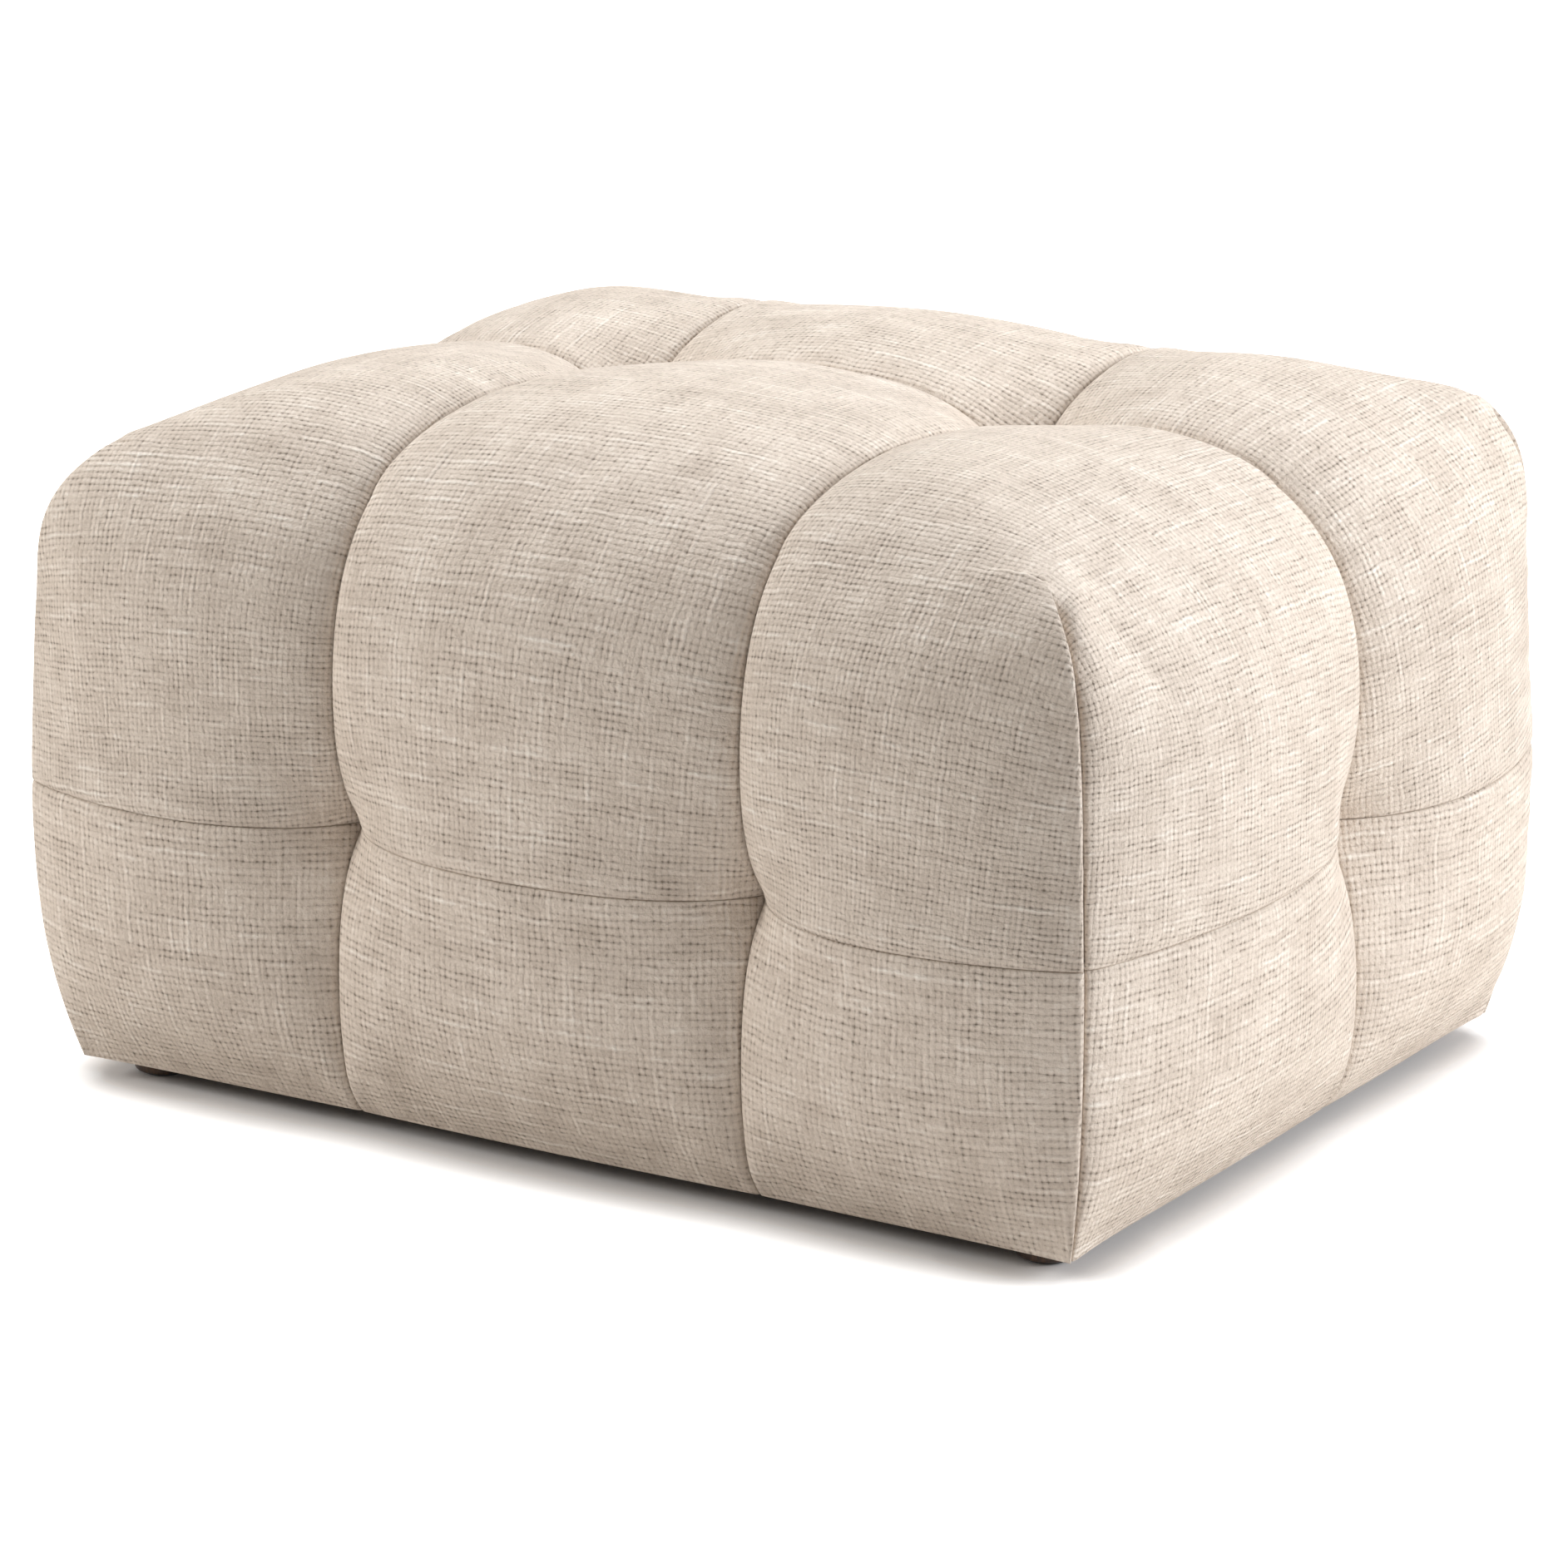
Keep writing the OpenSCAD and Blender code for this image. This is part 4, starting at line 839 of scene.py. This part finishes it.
def slub_chenille(add, cut):
    # The yarns wander: slowly by half their distance, and quickly by a little.
    slow = add("TexNoise", {"Vector": cut, "Scale": 11, "Detail": 1}).outputs["Color"]
    quick = add("TexNoise", {"Vector": cut, "Scale": 75, "Detail": 3}).outputs["Color"]
    laid = add("VectorMath", {0: slow, 1: DRIFT, 2: cut}, operation="MULTIPLY_ADD")
    laid = add("VectorMath", {0: quick, 1: SHAKE, 2: laid}, operation="MULTIPLY_ADD")
    laid = add("VectorMath", {0: laid, 1: (1 / WARP, 1 / WEFT, 1)}, operation="MULTIPLY")
    place, yarns = (add("SeparateXYZ", {0: v}).outputs for v in (cut, laid))
    # Height across a yarn, 1 on its middle and 0 in the gap beside it, and the number of each
    # yarn and of each gap. The first of each pair is for upright yarns, the second for the others.
    waves = [add("Math", {0: product(add, yarns[i], math.pi)}, operation="SINE") for i in (0, 1)]
    round_up = [add("Math", {0: wave}, operation="ABSOLUTE") for wave in waves]
    gap = [add("Math", {0: summed(add, 1.0, (r, -1.0)), 1: 1.35}, operation="POWER")
           for r in round_up]
    number, between = ([add("Math", {0: yarns[i]}, operation=how) for i in (0, 1)]
                       for how in ("FLOOR", "ROUND"))

    def along(axis, which, reach, seed, low, high):
        """A value that changes along each yarn or gap, and how far it is from low to high. Each
        neighbour lies 7.31 on in the noise, and each seed elsewhere, so they differ."""
        parts = {axis: product(add, place[axis], 1 / reach),
                 1 - axis: product(add, which[1 - axis], 7.31), 2: seed}
        value = add("TexNoise", {"Vector": add("CombineXYZ", parts), "Scale": 1, "Detail": 2})
        return value, add("MapRange", {"Value": value, "From Min": low, "From Max": high},
                          interpolation_type="SMOOTHSTEP")

    def chance(which):
        """A random value for each crossing, or for each gap between crossings."""
        cell = add("CombineXYZ", dict(enumerate(which)))
        return add("TexWhiteNoise", {"Vector": cell}, noise_dimensions="2D").outputs["Value"]

    # The thick uneven yarns lie one way and are plain to see, and those across them are fainter.
    turned = add("Attribute", attribute_name="turned_weave").outputs["Fac"]
    share = [summed(add, FAINT, (turned, 1 - FAINT)), summed(add, 1.0, (turned, FAINT - 1))]
    varied = summed(add, 0.3, (chance(between), 0.7))
    tone, height = 0.605, 0.0
    for i in (0, 1):
        yarn, thick = along(1 - i, number, SLUB_REACH, 1.7 + i, 0.54, 0.74)
        _, dashed = along(1 - i, between, ROW_REACH, 6.4 + i, 0.34, 0.66)
        slub = product(add, thick, add("Math", {0: round_up[i], 1: 2.5}, operation="POWER"))
        # Dark dashes in the gaps beside a yarn, darkest where two gaps meet. In the colour they are
        # partly the darker ground of the weave and partly painted shade in the gaps; in the height
        # they are hollows.
        dashes = product(add, gap[i], summed(add, 0.45, (gap[1 - i], 0.55)), varied,
                         summed(add, 0.25, (dashed, 0.75)))
        uneven = summed(add, -0.5, (yarn, 1.0))
        one_way = summed(add, 0.0, (dashes, -0.68), (slub, 0.16), (uneven, 0.36))
        raised = summed(add, 0.0, (round_up[i], 0.3), (dashes, -0.9), (slub, 0.6), (uneven, 0.9))
        tone, height = (summed(add, start, (part, share[i]))
                        for start, part in ((tone, one_way), (height, raised)))
    clouds = add("TexNoise", {"Vector": cut, "Scale": 22, "Detail": 3, "Roughness": 0.55})
    fuzz = add("TexNoise", {"Vector": cut, "Scale": 330, "Detail": 3, "Roughness": 0.75})
    beads = product(add, *round_up, summed(add, -0.5, (chance(number), 1.0)))
    tone = summed(add, tone, (beads, 0.18), (clouds, CLOUDS), (fuzz, FUZZ), (0.5, -CLOUDS - FUZZ))
    return ((tone, (0.0, "#9b8d7e"), (0.35, "#ccbcac"), (0.65, "#e4d5c5"), (1.0, "#fcf2e4")),
            (0.92,), (summed(add, height, (fuzz, 1.8)), 1.0, 0.0008),
            {"Specular IOR Level": 0.1, "Sheen Weight": 0.15, "Sheen Roughness": 0.45,
             "Sheen Tint": linear("#fff2e2")})


FINISHES = {"cover_cloth": make_finish(slub_chenille, "slub_chenille", cloth="flat_cut")}
print("cover:", FINISHES["cover_cloth"].name)

# %% [markdown]
# ## Wood of the frame
# The frame is planed pine. Its year rings show as straight lines along each piece, 2 to 3 mm
# apart, soft on one side and dark and sharp on the other. The feet are turned beech with a dark
# walnut stain under satin lacquer: short fine flecks run up the foot, and the turning left faint
# rings. The linings are pressed hardboard, of matted brown fibres about 1 mm wide, a little glossy.

# %% Make the wood
RING_PITCH, TURNING_PITCH = 0.0026, 0.0009
WAVE = 2 * math.pi / 20  # a wave texture of this scale repeats once in a metre


def planed_pine(add, where, along):
    """Pine whose grain runs along one axis, 0 for x, 1 for y and 2 for z."""
    stretch = [1.0, 1.0, 1.0]
    stretch[along] = 0.05  # the rings change slowly along the grain
    laid = add("VectorMath", {0: where, 1: stretch}, operation="MULTIPLY")
    rings = add("TexWave", {"Vector": laid, "Scale": WAVE / RING_PITCH, "Distortion": 5.0,
                            "Detail": 2.0, "Detail Scale": 0.35, "Detail Roughness": 0.5},
                wave_type="RINGS", rings_direction="XYZ"[along], wave_profile="SAW")
    pores = add("TexNoise", {"Vector": laid, "Scale": 1400, "Detail": 2})
    tint = add("TexNoise", {"Vector": laid, "Scale": 18, "Detail": 2})
    tone = summed(add, 0.0, (rings.outputs["Fac"], 0.55), (pores, 0.25), (tint, 0.35))
    return ((tone, (0.15, "#ecd6ad"), (0.55, "#ddbd88"), (0.80, "#c89a60"), (1.0, "#a97744")),
            (tone, 0.72, 0.52), (tone, 0.4, 0.0003), {})


def stained_beech(add, where):
    up_grain = add("VectorMath", {0: where, 1: (1.0, 1.0, 0.12)}, operation="MULTIPLY")
    flecks = add("TexNoise", {"Vector": up_grain, "Scale": 900, "Detail": 2})
    stain = add("TexNoise", {"Vector": up_grain, "Scale": 120, "Detail": 3})
    turning = add("TexWave", {"Vector": where, "Scale": WAVE / TURNING_PITCH, "Distortion": 1.0},
                  wave_type="BANDS", bands_direction="Z").outputs["Fac"]
    tone = summed(add, 0.0, (flecks, 0.55), (stain, 0.45))
    return ((tone, (0.30, "#1f140c"), (0.50, "#3c281a"), (0.72, "#5e4129")), (stain, 0.30, 0.44),
            (summed(add, flecks, (turning, 0.5)), 0.25, 0.0001),
            {"Coat Weight": 0.35, "Coat Roughness": 0.25})


def smooth_hardboard(add, where):
    fibres = add("TexNoise", {"Vector": where, "Scale": 750, "Detail": 4, "Roughness": 0.7,
                              "Distortion": 1.5})
    patches = add("TexNoise", {"Vector": where, "Scale": 40, "Detail": 2})
    tone = summed(add, 0.0, (fibres, 0.6), (patches, 0.4))
    return ((tone, (0.30, "#593720"), (0.50, "#7c5233"), (0.72, "#9c6f49")),
            (fibres, 0.38, 0.62), (fibres, 0.3, 0.0001), {})


pines = [make_finish(planed_pine, "planed_pine_along_" + axis, number)
         for number, axis in enumerate("xyz")]
FINISHES["dark_wood"] = make_finish(stained_beech, "walnut_stained_beech")
FINISHES["hardboard"] = make_finish(smooth_hardboard, "pressed_hardboard")
print("pines:", [pine.name for pine in pines])

# %% [markdown]
# ## Metal and plastic
# Screws, bolts, nuts and staples are steel with bright zinc: a pale blue-grey metal that changes a
# little from patch to patch, with fine marks from the barrel they were plated in. Washers and
# glides are moulded black polypropylene with a fine matt grain.

# %% Make the metal and the plastic
def bright_zinc(add, where):
    patches = add("TexNoise", {"Vector": where, "Scale": 260, "Detail": 3})
    marks = add("TexNoise", {"Vector": where, "Scale": 2200, "Detail": 2, "Roughness": 0.6})
    return ((patches, (0.3, "#aab2b9"), (0.55, "#c3c9cd"), (0.75, "#d6d8d4")),
            (marks, 0.22, 0.48), (marks, 0.2, 0.00005), {"Metallic": 1})


def moulded_black(add, where):
    grain = add("TexNoise", {"Vector": where, "Scale": 2500, "Detail": 1})
    wear = add("TexNoise", {"Vector": where, "Scale": 150, "Detail": 3})
    return ((wear, (0.35, "#1b1b1c"), (0.70, "#2a2a2b")), (wear, 0.45, 0.62),
            (grain, 0.35, 0.00008), {"IOR": 1.49})


FINISHES["zinc_steel"] = make_finish(bright_zinc, "bright_zinc_plate")
FINISHES["black_plastic"] = make_finish(moulded_black, "moulded_polypropylene")
print("slots so far:", list(FINISHES))

# %% [markdown]
# ## Foam, webbing, hessian, dust cloth and twine
# Cut foam shows its open cells, drawn 1.2 mm wide so that they can be seen. Webbing is woven tight
# from dark rubber-cored threads in ribs 2 mm apart, and hessian loosely from jute threads 2.2 mm
# apart. The dust cloth isn't woven: its fibres are pressed together in small spots, 2.4 mm apart.
# Waxed twine is pale, with fine fibres under the wax.

# %% Make the foam
def open_cell_foam(add, where):
    pores = add("TexVoronoi", {"Vector": where, "Scale": 850}).outputs["Distance"]
    tint = add("TexNoise", {"Vector": where, "Scale": 12, "Detail": 2})
    tone = summed(add, pores, (tint, 0.5))
    return ((tone, (0.2, "#cfae6c"), (0.5, "#ead08f"), (0.9, "#f4e3b0")), (0.95,),
            (pores, 0.7, 0.0006), {"Specular IOR Level": 0.2})


FINISHES["foam"] = make_finish(open_cell_foam, "open_cell_foam")
print("foam:", FINISHES["foam"].name)

# %% Make the webbing
def crossed(add, where, *pitches):
    """Heights of threads along y and along x, from their pitches, and over which lies on top."""
    axes = add("SeparateXYZ", {0: where}).outputs
    waves = [add("Math", {0: product(add, axes[i], math.pi / pitch)}, operation="SINE")
             for i, pitch in enumerate(pitches)]
    return [add("Math", {0: w}, operation="ABSOLUTE") for w in waves], product(add, *waves)


def elastic_webbing(add, where, along):
    heights, over = crossed(add, where, *((0.0012, 0.0020), (0.0020, 0.0012))[along])
    fuzz = add("TexNoise", {"Vector": where, "Scale": 1200, "Detail": 2})
    tone = summed(add, 0.0, (over, 0.3), (heights[1 - along], 0.7), (fuzz, 0.5))
    return ((tone, (0.1, "#2b231e"), (0.6, "#5d5046"), (1.0, "#8a7a6a")), (0.8,),
            (tone, 0.8, 0.0004), {})


for number, node_name in enumerate(("webbing_lengthwise", "webbing_crosswise")):
    FINISHES[node_name] = make_finish(elastic_webbing, "elastic_webbing_along_" + "xy"[number],
                                      number)
print("webbing:", FINISHES[node_name].name)

# %% Make the hessian and the dust cloth
def jute_hessian(add, where):
    wander = add("TexNoise", {"Vector": where, "Scale": 60, "Detail": 2}).outputs["Color"]
    laid = add("VectorMath", {0: wander, 1: (0.002, 0.002, 0), 2: where},
               operation="MULTIPLY_ADD")
    heights, over = crossed(add, laid, 0.0022, 0.0022)
    thread = add("Math", dict(enumerate(heights)), operation="MAXIMUM")
    fibres = add("TexNoise", {"Vector": where, "Scale": 900, "Detail": 3, "Roughness": 0.7})
    tone = summed(add, thread, (over, 0.15), (fibres, 0.6))
    return ((tone, (0.45, "#3a2917"), (0.75, "#8e6b3d"), (1.0, "#b8935c")), (0.95,),
            (tone, 0.9, 0.0005), {})


def spunbonded_cloth(add, where):
    fibres = add("TexNoise", {"Vector": where, "Scale": 700, "Detail": 4, "Roughness": 0.7,
                              "Distortion": 2.0})
    heights, over = crossed(add, where, 0.0024, 0.0024)
    pressed = add("MapRange", {"Value": product(add, *heights), "From Min": 0.75,
                               "From Max": 0.9})
    tone = summed(add, fibres, (pressed, -0.35))
    return ((tone, (0.1, "#0d0d0e"), (0.5, "#1d1d1e"), (0.8, "#3a3a3b")), (pressed, 0.85, 0.5),
            (tone, 0.6, 0.0003), {})


FINISHES["hessian"] = make_finish(jute_hessian, "jute_hessian")
FINISHES["dust_cloth"] = make_finish(spunbonded_cloth, "spunbonded_polypropylene")
print("hessian:", FINISHES["hessian"].name, "dust cover:", FINISHES["dust_cloth"].name)

# %% Make the wax on the twine
def waxed_twine(add, where):
    fibres = add("TexNoise", {"Vector": where, "Scale": 2600, "Detail": 3})
    wax = add("TexNoise", {"Vector": where, "Scale": 220, "Detail": 2})
    tone = summed(add, 0.0, (fibres, 0.6), (wax, 0.4))
    return ((tone, (0.3, "#c9bf9f"), (0.5, "#e6dfc8"), (0.75, "#f4efde")), (0.5,),
            (fibres, 0.5, 0.0001), {})


FINISHES["twine"] = make_finish(waxed_twine, "waxed_twine")
print("all slots but pine:", list(FINISHES))

# %% [markdown]
# ## Giving each piece its finish
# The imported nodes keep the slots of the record, and each new piece has one, so one table gives the
# finish of each slot. Pine runs along the longest side of a piece, and of each dowel along y.

# %% Dress the pieces
def finish_for(slot, node_name):
    if slot == "pine":
        low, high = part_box(node_name)
        size = high - low
        return pines[1 if node_name == "rail_dowels" else max(range(3), key=lambda i: size[i])]
    return FINISHES[node_name if slot == "webbing" else slot]


for piece, node_name, slot in new_pieces:
    piece.data.materials.clear()
    piece.data.materials.append(finish_for(slot, node_name))
used = set()
for node_name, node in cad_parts.items():
    for slot in node.material_slots:
        slot.material = finish_for(slot.material.name.split(".")[0], node_name)
        used.add(slot.material.name)
print("finishes:", sorted(used))

# %% [markdown]
# ## Floor and light
# The pouf stands on a white floor with only a narrow dark shadow, as in a studio with much stray
# light. So the camera sees the floor lifted to white, except close to the pouf, where Ambient
# Occlusion takes the lift away: the shadow there is painted shade, laid over the real shadow of the
# lamps. The light that the floor throws back on the pouf stays plain. One lamp behind on the right
# lights the short side, one in front on the left brings out the cells of the front, one lights the
# top, and the pale world fills the rest.

# %% Floor
FLOOR_HALF = 6.0
FLOOR_LIFT = 0.9  # added to the floor for the camera, away from the pouf
SHADOW_REACH = 0.048  # the lift fades over this distance from the pouf
OPEN_FROM, OPEN_TO = 0.40, 0.80  # how open the floor is where the lift begins, and where it is full


def to_the_eye(add):
    """1 for rays from the camera, in a reflection or through glass, and 0 for light on the pouf."""
    ray = add("LightPath").outputs
    seen = add("Math", {0: ray["Is Camera Ray"], 1: ray["Is Glossy Ray"]}, operation="MAXIMUM")
    return add("Math", {0: seen, 1: ray["Is Transmission Ray"]}, operation="MAXIMUM")


bm = bmesh.new()
bmesh.ops.create_grid(bm, x_segments=1, y_segments=1, size=FLOOR_HALF)
floor = as_object(bm, "floor")
floor.data.materials.append(bpy.data.materials.new("floor_paint"))
add = emptied(floor.data.materials[0])
paint = add("BsdfPrincipled", {"Base Color": linear("#ece9e6"), "Roughness": 1,
                               "Specular IOR Level": 0})
# Close to the pouf, Ambient Occlusion takes the lift away, which paints a narrow shadow on the
# floor.
near = add("AmbientOcclusion", {"Distance": SHADOW_REACH}, samples=24)
clear = add("MapRange", {"Value": near.outputs["AO"], "From Min": OPEN_FROM,
                         "From Max": OPEN_TO, "To Max": FLOOR_LIFT})
lift = add("Emission", {"Strength": product(add, clear, to_the_eye(add))})
add("OutputMaterial", {"Surface": add("AddShader", {0: paint, 1: lift})})
print("floor, metres each way:", 2 * FLOOR_HALF)

# %% World
WORLD_LIGHT = 0.26
scene.world = bpy.data.worlds.new("studio")
add = emptied(scene.world)
fill, white = (add("Background", {"Color": linear("#ffffff"), "Strength": strength})
               for strength in (WORLD_LIGHT, 1.0))
add("OutputWorld", {"Surface": add("MixShader", {0: to_the_eye(add), 1: fill, 2: white})})
print("world light:", WORLD_LIGHT)

# %% Lamps
DAYLIGHT, PLAIN = (0.90, 0.94, 1.0), (1, 1, 1)  # the front lamp is the warmer one
# Name, place, what it is aimed at, width, power in watts and colour of each lamp.
LAMPS = (("side_lamp", (3.2, 1.3, 1.4), (0.3, 0, 0.2), 1.4, 114, DAYLIGHT),
         ("front_lamp", (-3.0, -1.9, 1.5), (-0.1, -0.3, 0.2), 1.2, 72, PLAIN),
         ("top_lamp", (-0.2, 0.9, 3.3), (0, 0, 0.3), 2.0, 86, DAYLIGHT))
for name, place, aim, width, power, colour in LAMPS:
    light = bpy.data.lights.new(name, "AREA")
    light.shape, light.size, light.energy, light.color = "DISK", width, power, colour
    lamp = bpy.data.objects.new(name, light)
    scene.collection.objects.link(lamp)
    lamp.location = place
    lamp.rotation_euler = (Vector(aim) - Vector(place)).to_track_quat("-Z", "Y").to_euler()
print("lamps:", [row[0] for row in LAMPS])
